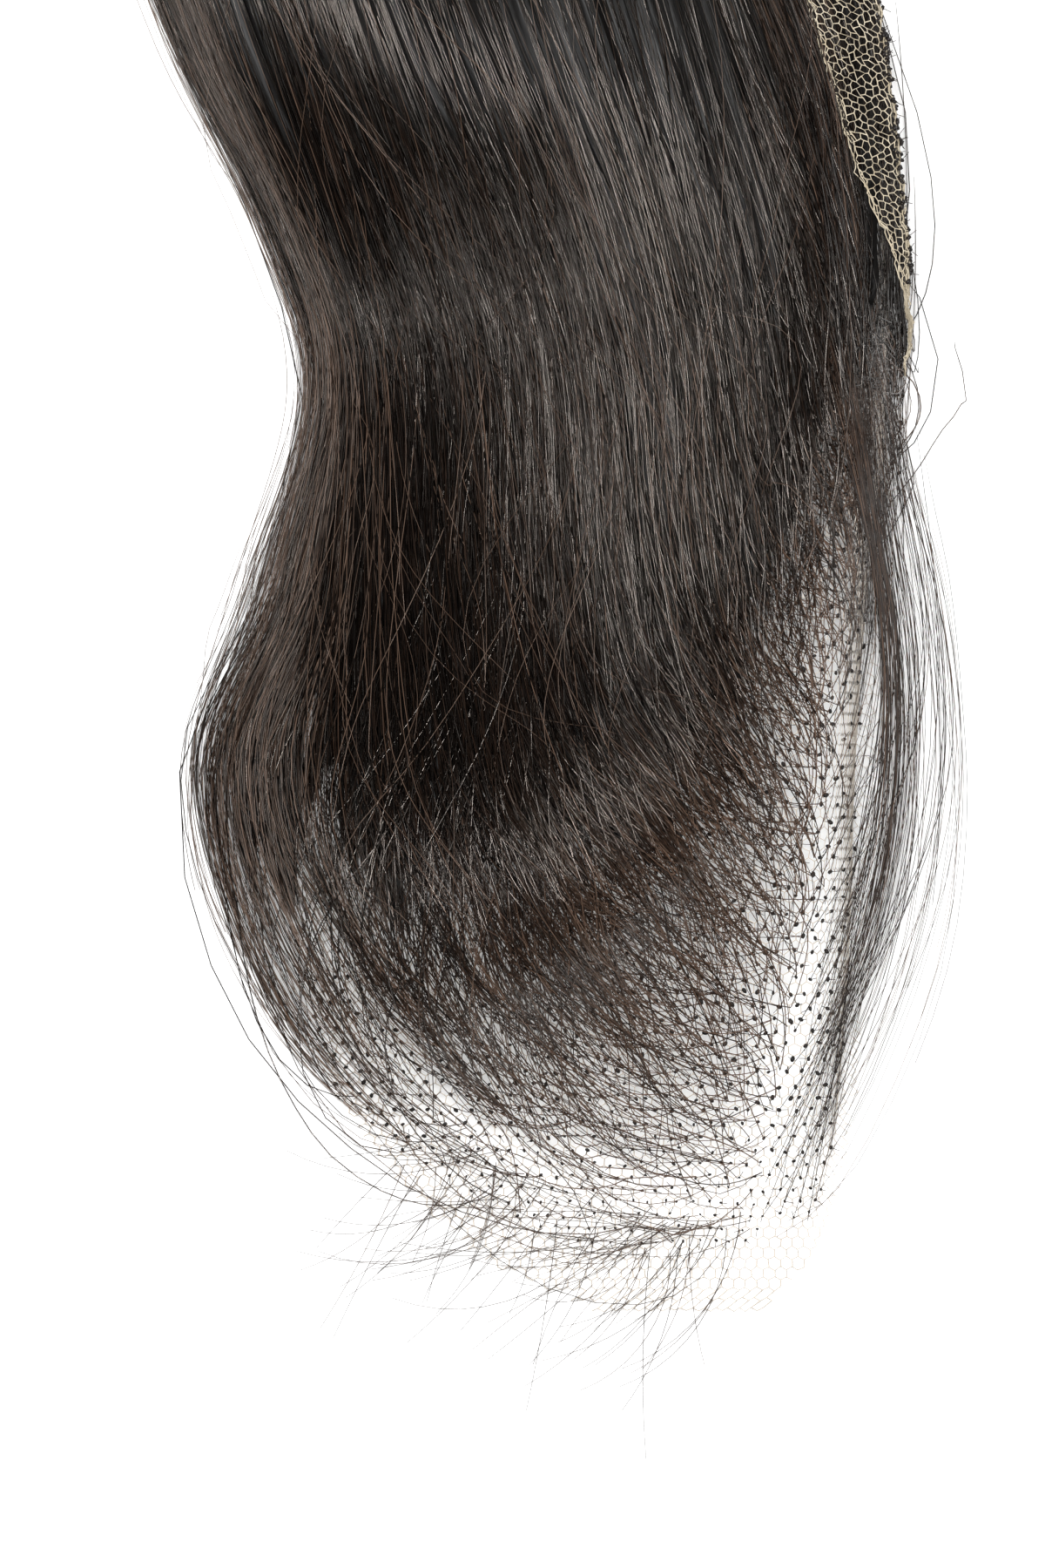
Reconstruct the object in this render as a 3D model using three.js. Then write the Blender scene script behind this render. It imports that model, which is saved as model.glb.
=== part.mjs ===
// Lace closure: a hand-tied hairpiece that lies on a table, its hair combed back from the front hairline.
// X runs across, Y from the front hairline to the hair's tips and Z up from the table, in millimetres.
import * as THREE from 'three';
import { mergeVertices } from 'three/addons/utils/BufferGeometryUtils.js';

// Clearance between two pieces that lie on each other
const GAP = 0.5;

// The lace is one net, shaped as an arch that is open underneath, with a flat margin on the table.
// Each row is a section across it: the two edges, the highest line and how far that line rises.
const LACE_WALL = 1.0;
const LACE_MARGIN = 2.0;
const LACE_ROWS = 26;
const LACE_FLANK_STEPS = { left: 11, right: 7 };
const LACE_SECTIONS = [
  { y: -49.6, left: 8.0, ridge: 15.2, right: 21.6, rise: 0.0 },
  { y: -46.4, left: -0.8, ridge: 19.0, right: 26.0, rise: 0.0 },
  { y: -42.0, left: -6.4, ridge: 22.0, right: 28.4, rise: 0.4 },
  { y: -36.0, left: -12.8, ridge: 23.4, right: 30.4, rise: 4.5 },
  { y: -28.0, left: -18.0, ridge: 24.8, right: 31.5, rise: 10.0 },
  { y: -12.0, left: -21.2, ridge: 26.4, right: 32.5, rise: 20.0 },
  { y: 0.0, left: -22.0, ridge: 27.2, right: 32.8, rise: 25.5 },
  { y: 16.0, left: -20.8, ridge: 28.4, right: 33.8, rise: 28.5 },
  { y: 32.0, left: -18.2, ridge: 29.2, right: 35.7, rise: 27.0 },
  { y: 44.0, left: -18.2, ridge: 27.6, right: 36.0, rise: 22.5 },
  { y: 56.0, left: -21.6, ridge: 24.8, right: 35.2, rise: 17.0 },
  { y: 72.0, left: -28.0, ridge: 20.0, right: 33.2, rise: 11.5 },
  { y: 78.0, left: -30.4, ridge: 18.0, right: 31.8, rise: 9.0 },
];
// Behind the lace the hair comes down to the table between these distances from its back edge.
const LANDING = { start: 9.0, end: 30.0 };

// The net border stands on the lace's right margin, beside the hair, and folds over the hair's edge.
// Each row is a section: the upright's height, the flap's length and its lean from upright in degrees.
const BORDER_WALL = 0.9;
const BORDER_INSET = 1.0;
const BORDER_SECTIONS = [
  { y: 34.0, upright: 3.0, flap: 0.0, lean: 0 },
  { y: 40.0, upright: 11.5, flap: 0.3, lean: 0 },
  { y: 46.0, upright: 17.6, flap: 1.2, lean: 40 },
  { y: 56.0, upright: 16.8, flap: 3.9, lean: 76 },
  { y: 66.0, upright: 15.0, flap: 6.1, lean: 70 },
  { y: 77.6, upright: 12.6, flap: 8.0, lean: 66 },
];
const NET_PITCH = 3.0;
const NET_BAR = 0.8;
const FOLD_RADIUS = 1.6;

// The main fall's guides run from the dense line on the lace to the tips.
// Each row is a section across the hair, each triple the x, y and crown height of one guide there.
const GUIDES = ['left', 'valley', 'crest', 'shoulder', 'right'];
const HAIR_SECTIONS = [
  { left: [-13.6, -31.2, 7.0], valley: [4.8, -19.2, 20.2], crest: [20.8, -2.4, 27.4],
    shoulder: [23.2, 11.2, 31.0], right: [32.9, 40.8, 17.2] },
  { left: [-24.8, -16.8, 14.6], valley: [-2.0, -11.2, 22.4], crest: [16.0, 4.0, 27.6],
    shoulder: [21.8, 15.2, 30.9], right: [32.9, 42.4, 17.1] },
  { left: [-29.8, 0.8, 13.4], valley: [-7.6, -0.4, 22.3], crest: [12.2, 11.2, 28.8],
    shoulder: [20.5, 20.0, 30.7], right: [32.9, 44.0, 17.2] },
  { left: [-24.8, 18.4, 11.6], valley: [-10.0, 17.6, 14.7], crest: [9.8, 22.4, 29.2],
    shoulder: [19.2, 28.8, 30.1], right: [32.8, 46.4, 17.5] },
  { left: [-19.8, 36.8, 9.6], valley: [-11.2, 37.6, 9.0], crest: [8.0, 36.8, 29.0],
    shoulder: [17.8, 40.0, 29.4], right: [32.5, 50.4, 17.4] },
  { left: [-24.0, 52.4, 8.8], valley: [-15.0, 51.0, 8.2], crest: [4.0, 51.2, 27.0],
    shoulder: [14.8, 51.2, 28.8], right: [31.8, 58.4, 15.8] },
  { left: [-33.2, 72.0, 9.4], valley: [-22.4, 72.0, 13.4], crest: [-4.0, 72.0, 27.6],
    shoulder: [7.6, 72.8, 27.2], right: [30.0, 72.0, 12.7] },
  { left: [-44.0, 106.4, 8.0], valley: [-32.8, 108.0, 13.0], crest: [-16.8, 109.6, 17.2],
    shoulder: [-3.2, 110.4, 17.0], right: [15.2, 110.4, 6.0] },
  { left: [-43.2, 156.0, 5.5], valley: [-32.8, 156.8, 8.5], crest: [-20.0, 158.4, 10.5],
    shoulder: [-8.8, 159.2, 9.5], right: [4.8, 159.2, 5.5] },
  { left: [-32.8, 208.0, 4.5], valley: [-24.8, 209.6, 6.0], crest: [-15.2, 212.0, 7.0],
    shoulder: [-6.4, 212.0, 6.5], right: [3.2, 210.4, 4.5] },
  { left: [-27.2, 244.0, 2.2], valley: [-21.2, 250.4, 2.6], crest: [-14.4, 255.2, 3.0],
    shoulder: [-8.0, 252.0, 2.6], right: [-0.8, 246.4, 2.2] },
];
const LOCKS = 12;
const COLUMNS_PER_LOCK = 4;
const HAIR_ROWS = 27;
const LOCK_RELIEF = { roots: 0.8, tips: 1.3 };
const EDGE_ROUNDING = 0.1;
const HAIR_MIN = 1.2;
const TIP_NOTCH = 0.07;
const TIP_STAGGER = 0.08;

// The side lock's centreline, with half its width and half its depth at each point
const SIDE_LOCK = [
  { x: 27.6, y: -31.0, z: 8.9, wide: 0.6, deep: 0.5 },
  { x: 31.0, y: -22.4, z: 8.4, wide: 1.1, deep: 0.8 },
  { x: 33.8, y: -12.8, z: 8.0, wide: 1.5, deep: 1.0 },
  { x: 35.0, y: -3.2, z: 8.8, wide: 1.7, deep: 1.1 },
  { x: 35.2, y: 6.4, z: 11.2, wide: 1.7, deep: 1.1 },
  { x: 34.6, y: 15.2, z: 16.4, wide: 1.6, deep: 1.0 },
  { x: 33.4, y: 23.2, z: 22.8, wide: 1.3, deep: 0.9 },
  { x: 31.6, y: 30.4, z: 27.0, wide: 0.8, deep: 0.6 },
];
const SIDE_LOCK_STEPS = 18;
const SIDE_LOCK_SIDES = 10;
const SIDE_LOCK_LOBES = 3;
const LOBE_DEPTH = 0.16;

const { lerp, clamp, smoothstep, degToRad } = THREE.MathUtils;

// Smooth curve through values at the given stations, flat beyond the ends
function curveThrough(stations, values) {
  return (at) => {
    const t = clamp(at, stations[0], stations.at(-1));
    const i = clamp(stations.findIndex((s) => s >= t) - 1, 0, stations.length - 2);
    const slope = (k) => {
      const a = Math.max(k - 1, 0);
      const b = Math.min(k + 1, stations.length - 1);
      return (values[b] - values[a]) / (stations[b] - stations[a]);
    };
    const span = stations[i + 1] - stations[i];
    const f = (t - stations[i]) / span;
    const rise = values[i + 1] - values[i];
    const m0 = slope(i) * span;
    const m1 = slope(i + 1) * span;
    return values[i] + f * (m0 + f * (3 * rise - 2 * m0 - m1 + f * (m0 + m1 - 2 * rise)));
  };
}

// One curve for each column of a table of sections
function columnCurves(rows, key) {
  const stations = rows.map((row) => row[key]);
  const names = Object.keys(rows[0]).filter((name) => name !== key);
  return Object.fromEntries(names.map((name) => [name, curveThrough(stations, rows.map((row) => row[name]))]));
}

// Closed body between two grids of points, upper[row][column] over lower[row][column]
function slab(upper, lower) {
  const rows = upper.length;
  const columns = upper[0].length;
  const points = [...upper.flat(), ...lower.flat()];
  const top = (r, c) => r * columns + c;
  const under = (r, c) => rows * columns + r * columns + c;
  const triangles = [];
  const quad = (a, b, c, d) => triangles.push(a, b, c, a, c, d);
  for (let r = 0; r < rows - 1; r++) {
    for (let c = 0; c < columns - 1; c++) {
      quad(top(r, c), top(r, c + 1), top(r + 1, c + 1), top(r + 1, c));
      quad(under(r, c), under(r + 1, c), under(r + 1, c + 1), under(r, c + 1));
    }
    quad(top(r, 0), top(r + 1, 0), under(r + 1, 0), under(r, 0));
    quad(top(r + 1, columns - 1), top(r, columns - 1), under(r, columns - 1), under(r + 1, columns - 1));
  }
  for (let c = 0; c < columns - 1; c++) {
    quad(top(0, c + 1), top(0, c), under(0, c), under(0, c + 1));
    quad(top(rows - 1, c), top(rows - 1, c + 1), under(rows - 1, c + 1), under(rows - 1, c));
  }
  return new THREE.BufferGeometry().setFromPoints(points).setIndex(triangles);
}

// Lace sections at any station, and the height of the arch above its feet
const laceAt = columnCurves(LACE_SECTIONS, 'y');
const laceFront = LACE_SECTIONS[0].y;
const laceBack = LACE_SECTIONS.at(-1).y;

// 1 on the lace, falling to 0 where the hair behind it has reached the table
function overLace(y) {
  return 1 - smoothstep(y, laceBack + LANDING.start, laceBack + LANDING.end);
}

function archHeight(x, y) {
  const leftFoot = laceAt.left(y) + LACE_MARGIN;
  const rightFoot = laceAt.right(y) - LACE_MARGIN;
  const ridge = laceAt.ridge(y);
  const rise = laceAt.rise(y) * overLace(y);
  if (x <= leftFoot || x >= rightFoot) return 0;
  if (x < ridge) return rise * Math.sin((Math.PI / 2) * (x - leftFoot) / (ridge - leftFoot));
  return rise * Math.sqrt(1 - ((x - ridge) / (rightFoot - ridge)) ** 2);
}

// Points across one lace section: margin, long left flank, short steep right flank, margin
function laceSection(y) {
  const [left, ridge, right, rise] = ['left', 'ridge', 'right', 'rise'].map((name) => laceAt[name](y));
  const leftFoot = left + LACE_MARGIN;
  const rightFoot = right - LACE_MARGIN;
  const points = [new THREE.Vector3(left, y, LACE_WALL)];
  for (let i = 0; i <= LACE_FLANK_STEPS.left; i++) {
    const s = i / LACE_FLANK_STEPS.left;
    points.push(new THREE.Vector3(lerp(leftFoot, ridge, s), y, LACE_WALL + rise * Math.sin(s * Math.PI / 2)));
  }
  for (let i = 1; i <= LACE_FLANK_STEPS.right; i++) {
    const angle = (i / LACE_FLANK_STEPS.right) * Math.PI / 2;
    const x = lerp(ridge, rightFoot, Math.sin(angle));
    points.push(new THREE.Vector3(x, y, LACE_WALL + rise * Math.cos(angle)));
  }
  points.push(new THREE.Vector3(right, y, LACE_WALL));
  return points;
}

// Normal of a grid of points, from its neighbours
function gridNormal(grid, r, c) {
  const row = grid[r];
  const across = row[Math.min(c + 1, row.length - 1)].clone().sub(row[Math.max(c - 1, 0)]);
  const along = grid[Math.min(r + 1, grid.length - 1)][c].clone().sub(grid[Math.max(r - 1, 0)][c]);
  return across.cross(along).normalize();
}

function laceBase() {
  const outer = [];
  for (let r = 0; r < LACE_ROWS; r++) outer.push(laceSection(lerp(laceFront, laceBack, r / (LACE_ROWS - 1))));
  const last = outer[0].length - 1;
  const inner = outer.map((row, r) => row.map((point, c) => {
    const onMargin = r <= 1 || c <= 1 || c >= last - 1;
    if (onMargin) return new THREE.Vector3(point.x, point.y, 0);
    const under = point.clone().addScaledVector(gridNormal(outer, r, c), -LACE_WALL);
    under.y = point.y;
    under.z = Math.max(under.z, 0);
    return under;
  }));
  return slab(outer, inner);
}

// The border is a flat strip of hexagon cells, bent up from the margin and over the hair.
const borderAt = columnCurves(BORDER_SECTIONS, 'y');
const borderFront = BORDER_SECTIONS[0].y;
const borderBack = BORDER_SECTIONS.at(-1).y;

// Centres of the cells that fit the strip, as distances along the closure and up the strip
function netCells() {
  const cells = [];
  const reach = NET_PITCH / Math.sqrt(3);
  const rowPitch = NET_PITCH * Math.sqrt(3) / 2;
  for (let row = 0; borderFront + reach + row * rowPitch <= borderBack - reach; row++) {
    const y = borderFront + reach + row * rowPitch;
    const width = borderAt.upright(y) + borderAt.flap(y);
    const start = NET_PITCH * (row % 2 ? 1 : 0.5);
    for (let up = start; up <= width - NET_PITCH / 2; up += NET_PITCH) cells.push([y, up]);
  }
  return cells;
}

// Place of a point of the strip, at the given depth in its thickness
function borderPoint(y, up, depth) {
  const turn = degToRad(borderAt.lean(y));
  const bendStart = Math.max(borderAt.upright(y) - FOLD_RADIUS * turn / 2, 0);
  const angle = clamp((up - bendStart) / FOLD_RADIUS, 0, turn);
  const beyond = Math.max(up - bendStart - FOLD_RADIUS * turn, 0);
  const across = FOLD_RADIUS * (1 - Math.cos(angle)) + beyond * Math.sin(angle) - depth * Math.cos(angle);
  const height = Math.min(up, bendStart) + FOLD_RADIUS * Math.sin(angle) + beyond * Math.cos(angle);
  const x = laceAt.right(y) - BORDER_INSET - across;
  return new THREE.Vector3(x, y, LACE_WALL + GAP + height + depth * Math.sin(angle));
}

function laceBorder() {
  const points = [];
  const triangles = [];
  const known = new Map();
  const edges = new Map();
  const quad = (a, b, c, d) => triangles.push(a, b, c, a, c, d);
  // One point of the flat strip gives a point on its inner side and the next on its outer side.
  const corner = ([y, up], radius, k) => {
    const place = [y + radius * Math.cos(k * Math.PI / 3), up + radius * Math.sin(k * Math.PI / 3)];
    const key = place.map((value) => value.toFixed(2)).join();
    if (!known.has(key)) {
      known.set(key, points.length);
      points.push(borderPoint(...place, -BORDER_WALL / 2), borderPoint(...place, BORDER_WALL / 2));
    }
    return known.get(key);
  };
  for (const cell of netCells()) {
    for (let k = 0; k < 6; k++) {
      const [a, b] = [corner(cell, NET_PITCH / Math.sqrt(3), k), corner(cell, NET_PITCH / Math.sqrt(3), k + 1)];
      const gap = (NET_PITCH - NET_BAR) / Math.sqrt(3);
      const [c, d] = [corner(cell, gap, k + 1), corner(cell, gap, k)];
      quad(a + 1, b + 1, c + 1, d + 1);
      quad(d, c, b, a);
      quad(d + 1, c + 1, c, d);
      edges.set(`${a},${b}`, [a, b]);
    }
  }
  for (const [a, b] of edges.values()) {
    if (!edges.has(`${b},${a}`)) quad(a, b, b + 1, a + 1);
  }
  return new THREE.BufferGeometry().setFromPoints(points).setIndex(triangles);
}

// Hair surface: u runs from the left edge to the right edge, t from the dense line to the tips.
const guideStations = GUIDES.map((_, i) => i / (GUIDES.length - 1));
const sectionStations = HAIR_SECTIONS.map((_, i) => i / (HAIR_SECTIONS.length - 1));
const guideCurves = GUIDES.map((name) => [0, 1, 2].map(
  (axis) => curveThrough(sectionStations, HAIR_SECTIONS.map((row) => row[name][axis]))));

function hairPoint(u, t) {
  const [x, y, z] = [0, 1, 2].map((axis) => curveThrough(guideStations, guideCurves.map((g) => g[axis](t)))(u));
  return new THREE.Vector3(x, y, z);
}

// Height of what the hair lies on, with its clearance taken square to the slope
function hairBed(x, y) {
  const step = 0.2;
  const slopeX = (archHeight(x + step, y) - archHeight(x - step, y)) / (2 * step);
  const slopeY = (archHeight(x, y + step) - archHeight(x, y - step)) / (2 * step);
  return archHeight(x, y) + overLace(y) * (LACE_WALL + GAP * Math.hypot(1, slopeX, slopeY));
}

function hairMainFall() {
  const columns = LOCKS * COLUMNS_PER_LOCK;
  const upper = [];
  const lower = [];
  for (let r = 0; r <= HAIR_ROWS; r++) {
    upper.push([]);
    lower.push([]);
    for (let c = 0; c <= columns; c++) {
      const u = c / columns;
      const rib = Math.abs(Math.sin(Math.PI * LOCKS * u));
      const shortness = 0.5 + 0.5 * Math.sin(2.4 * Math.round(LOCKS * u - 0.5));
      const length = 1 - TIP_NOTCH * (1 - rib) - TIP_STAGGER * shortness;
      const t = (r / HAIR_ROWS) * length;
      const crown = hairPoint(u, t);
      const bed = hairBed(crown.x, crown.y);
      const edge = clamp(Math.min(u, 1 - u) / EDGE_ROUNDING, 0, 1);
      const rounding = Math.sqrt(1 - (1 - edge) ** 2);
      const relief = lerp(LOCK_RELIEF.roots, LOCK_RELIEF.tips, t) * (rib - 0.6);
      const depth = Math.max((crown.z - bed) * rounding + relief, HAIR_MIN);
      upper[r].push(new THREE.Vector3(crown.x, crown.y, bed + depth));
      lower[r].push(new THREE.Vector3(crown.x, crown.y, bed));
    }
  }
  return slab(upper, lower);
}

function hairSideLock() {
  const stations = SIDE_LOCK.map((_, i) => i / (SIDE_LOCK.length - 1));
  const along = Object.fromEntries(['x', 'y', 'z', 'wide', 'deep'].map(
    (name) => [name, curveThrough(stations, SIDE_LOCK.map((row) => row[name]))]));
  const centre = (t) => new THREE.Vector3(along.x(t), along.y(t), along.z(t));
  const points = [centre(0)];
  for (let r = 0; r <= SIDE_LOCK_STEPS; r++) {
    const t = r / SIDE_LOCK_STEPS;
    const forward = centre(t + 0.01).sub(centre(t - 0.01)).normalize();
    const side = new THREE.Vector3(0, 0, 1).cross(forward).normalize();
    const up = forward.clone().cross(side);
    for (let k = 0; k < SIDE_LOCK_SIDES; k++) {
      const angle = 2 * Math.PI * k / SIDE_LOCK_SIDES;
      const lobe = 1 + LOBE_DEPTH * Math.cos(SIDE_LOCK_LOBES * angle);
      points.push(centre(t).addScaledVector(side, along.wide(t) * lobe * Math.cos(angle))
        .addScaledVector(up, along.deep(t) * lobe * Math.sin(angle)));
    }
  }
  points.push(centre(1));
  const ring = (r, k) => 1 + r * SIDE_LOCK_SIDES + (k % SIDE_LOCK_SIDES);
  const triangles = [];
  for (let k = 0; k < SIDE_LOCK_SIDES; k++) {
    triangles.push(0, ring(0, k + 1), ring(0, k));
    for (let r = 0; r < SIDE_LOCK_STEPS; r++) {
      triangles.push(ring(r, k), ring(r, k + 1), ring(r + 1, k + 1));
      triangles.push(ring(r, k), ring(r + 1, k + 1), ring(r + 1, k));
    }
    triangles.push(points.length - 1, ring(SIDE_LOCK_STEPS, k), ring(SIDE_LOCK_STEPS, k + 1));
  }
  return new THREE.BufferGeometry().setFromPoints(points).setIndex(triangles);
}

function piece(name, geometry, color, roughness) {
  const mesh = new THREE.Mesh(mergeVertices(geometry, 1e-4));
  mesh.material = new THREE.MeshStandardMaterial({ color, roughness, metalness: 0 });
  mesh.name = name;
  return mesh;
}

const closure = new THREE.Group();
closure.add(
  piece('lace_base', laceBase(), 0xd9c4ab, 0.85),
  piece('lace_border', laceBorder(), 0xcbb184, 0.85),
  piece('hair_main_fall', hairMainFall(), 0x1a1411, 0.4),
  piece('hair_side_lock', hairSideLock(), 0x2a1d17, 0.45),
);

// The origin is the middle of the footprint, on the table.
const box = new THREE.Box3().setFromObject(closure);
const middle = box.getCenter(new THREE.Vector3());
closure.position.set(-middle.x, -middle.y, -box.min.z);

export default closure;
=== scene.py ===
import math
import bpy
import numpy as np
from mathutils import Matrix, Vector
from mathutils.bvhtree import BVHTree


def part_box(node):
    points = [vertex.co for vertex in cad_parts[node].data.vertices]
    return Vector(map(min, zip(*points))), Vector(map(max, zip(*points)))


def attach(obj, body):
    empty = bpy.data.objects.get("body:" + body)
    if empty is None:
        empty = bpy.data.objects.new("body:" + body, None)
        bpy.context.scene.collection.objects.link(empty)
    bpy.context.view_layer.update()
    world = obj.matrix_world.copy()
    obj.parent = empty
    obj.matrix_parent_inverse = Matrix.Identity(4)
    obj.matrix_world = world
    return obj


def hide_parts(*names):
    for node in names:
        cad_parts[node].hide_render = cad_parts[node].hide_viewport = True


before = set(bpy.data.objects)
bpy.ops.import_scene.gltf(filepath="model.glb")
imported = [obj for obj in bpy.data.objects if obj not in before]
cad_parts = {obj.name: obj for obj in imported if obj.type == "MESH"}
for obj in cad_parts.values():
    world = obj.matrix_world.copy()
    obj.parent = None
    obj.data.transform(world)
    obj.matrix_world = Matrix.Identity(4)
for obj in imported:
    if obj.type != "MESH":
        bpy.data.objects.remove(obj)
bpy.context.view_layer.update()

mm = 0.001
rng = np.random.default_rng(23)

# Everything is laid out in a plan in mm, whose zero is the middle of the picture, then moved to the row frame
plan = dict(laceLeft=-30.4, laceFront=-49.6)
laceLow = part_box("lace_base")[0]
shift = np.array([laceLow.x / mm - plan["laceLeft"], laceLow.y / mm - plan["laceFront"], 0.0])


def toRow(points):
    return (np.asarray(points) + shift) * mm


def solidTree(node):
    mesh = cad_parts[node].data
    return BVHTree.FromPolygons([v.co for v in mesh.vertices], [p.vertices for p in mesh.polygons])


def castFrom(tree, point, direction):
    hit = tree.ray_cast(Vector(toRow(point)), Vector(direction))[0]
    return None if hit is None else np.array(hit) / mm - shift


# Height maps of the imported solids, seen from above or from below
mapped = dict(step=0.5, x=(-54.0, 54.0), y=(-56.0, 264.0), below=-10.0, above=60.0, blur=3, inside=1.01)
mapX = np.arange(*mapped["x"], mapped["step"])
mapY = np.arange(*mapped["y"], mapped["step"])


def heightMap(tree, fromBelow=False):
    heights = np.full((len(mapY), len(mapX)), np.nan)
    start, way = (mapped["below"], (0, 0, 1)) if fromBelow else (mapped["above"], (0, 0, -1))
    for row, y in enumerate(mapY):
        for column, x in enumerate(mapX):
            hit = castFrom(tree, (x, y, start), way)
            if hit is not None:
                heights[row, column] = hit[2]
    return heights


def blurred(heights):
    for _ in range(mapped["blur"]):
        padded = np.pad(heights, 1, mode="edge")
        heights = sum(padded[a:a + len(mapY), b:b + len(mapX)] for a in range(3) for b in range(3)) / 9
    return heights


def sample(heights, x, y):
    # heights between the map's points
    fx = np.clip((x - mapX[0]) / mapped["step"], 0, len(mapX) - mapped["inside"])
    fy = np.clip((y - mapY[0]) / mapped["step"], 0, len(mapY) - mapped["inside"])
    i, j = fx.astype(int), fy.astype(int)
    a, b = fx - i, fy - j
    near = heights[j, i] * (1 - a) + heights[j, i + 1] * a
    far = heights[j + 1, i] * (1 - a) + heights[j + 1, i + 1] * a
    return near * (1 - b) + far * b


def split(flat):
    return flat[..., 0], flat[..., 1]


laceSolid, hairSolid = solidTree("lace_base"), solidTree("hair_main_fall")
laceTop = np.nan_to_num(heightMap(laceSolid))
hairTop = heightMap(hairSolid)
hairUnder = heightMap(hairSolid, fromBelow=True)
bedTop = blurred(np.where(np.isnan(hairTop), laceTop, hairTop))  # the fall, and the lace around it
hairUnder = np.where(np.isnan(hairUnder), laceTop, hairUnder)
print("heights read from the packed solids")


# Shared tools: chance, ramps, smooth lines, meshes and node trees
def anyOf(limits, count):
    return rng.uniform(*limits, (count, 1))


def anyFor(limits, these):
    return rng.uniform(*limits, len(these))


def ramp(low, high, x):
    f = np.clip((x - low) / (high - low), 0, 1)
    return f * f * (3 - 2 * f)


def between(limits, x):
    # up over the first two limits and down over the last two
    return ramp(*limits[:2], x) * ramp(limits[3], limits[2], x)


def cubic(pick, count, at):
    # smooth line through evenly spaced values, going straight on past either end
    held = np.clip(at, 0, count - 1)
    k = np.minimum(held.astype(int), count - 2)
    b, c = pick(k), pick(k + 1)
    wide = (Ellipsis,) + (None,) * (b.ndim - k.ndim)
    a = np.where((k == 0)[wide], 2 * b - c, pick(np.maximum(k - 1, 0)))
    d = np.where((k == count - 2)[wide], 2 * c - b, pick(np.minimum(k + 2, count - 1)))
    startSlope, endSlope, rise = (c - a) / 2, (d - b) / 2, c - b
    f, past = (held - k)[wide], (at - held)[wide]
    line = b + f * (startSlope + f * (3 * rise - 2 * startSlope - endSlope
                                      + f * (startSlope + endSlope - 2 * rise)))
    return line + past * np.where(past < 0, startSlope, endSlope)


def newPiece(name, points, edges=(), faces=()):
    mesh = bpy.data.meshes.new(name)
    mesh.from_pydata(toRow(points).tolist(), [tuple(e) for e in edges], [tuple(f) for f in faces])
    piece = bpy.data.objects.new(name, mesh)
    bpy.context.collection.objects.link(piece)
    return piece


def pointAttribute(piece, name, values):
    attribute = piece.data.attributes.new(name, "FLOAT", "POINT")
    attribute.data.foreach_set("value", np.asarray(values, np.float32))


def wire(tree, wires):
    for source, output, target, entry in wires:
        tree.links.new(source.outputs[output], target.inputs[entry])


def newTree(name, sockets):
    tree = bpy.data.node_groups.new(name, "GeometryNodeTree")
    tree.interface.new_socket("Geometry", in_out="INPUT", socket_type="NodeSocketGeometry")
    for socketName, kind in sockets:
        tree.interface.new_socket(socketName, in_out="INPUT", socket_type="NodeSocket" + kind)
    tree.interface.new_socket("Geometry", in_out="OUTPUT", socket_type="NodeSocketGeometry")
    given, result = tree.nodes.new("NodeGroupInput"), tree.nodes.new("NodeGroupOutput")
    realize = tree.nodes.new("GeometryNodeRealizeInstances")
    paint = tree.nodes.new("GeometryNodeSetMaterial")
    wire(tree, [(realize, "Geometry", paint, "Geometry"), (given, "Finish", paint, "Material"),
                (paint, "Geometry", result, "Geometry")])
    return tree, given, realize.inputs["Geometry"]


def reckoned(nodes, links, kind, operation, *values):
    # a maths node, each of whose inputs is a socket or a plain value
    node = nodes.new(kind)
    node.operation = operation
    for entry, value in zip(node.inputs, values):
        if isinstance(value, bpy.types.NodeSocket):
            links.new(value, entry)
        else:
            entry.default_value = value
    return node.outputs[0]


def shareOf(tree, name):
    share = tree.nodes.new("GeometryNodeInputNamedAttribute")
    share.data_type = "FLOAT"
    share.inputs["Name"].default_value = name
    return share.outputs["Attribute"]


# Paths of plain edges become closed tubes, as thick as each point's own share of the radius
def tubeTree():
    tree, given, last = newTree("tubesAlongPaths", [("Radius", "Float"), ("Sides", "Int"),
                                                    ("Finish", "Material")])
    line = tree.nodes.new("GeometryNodeMeshToCurve")
    ring = tree.nodes.new("GeometryNodeCurvePrimitiveCircle")
    tube = tree.nodes.new("GeometryNodeCurveToMesh")
    tube.inputs["Fill Caps"].default_value = True
    wire(tree, [(given, "Geometry", line, "Mesh"), (given, "Radius", ring, "Radius"),
                (given, "Sides", ring, "Resolution"), (line, "Curve", tube, "Curve"),
                (ring, "Curve", tube, "Profile Curve")])
    tree.links.new(shareOf(tree, "thick"), tube.inputs["Scale"])
    tree.links.new(tube.outputs["Mesh"], last)
    return tree


# Each point gets a small flattened bead, turned and sized at random
beadForm = dict(subdivisions=1, scale=(1.25, 0.85, 0.7), tilt=0.4, largest=1.2)


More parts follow.
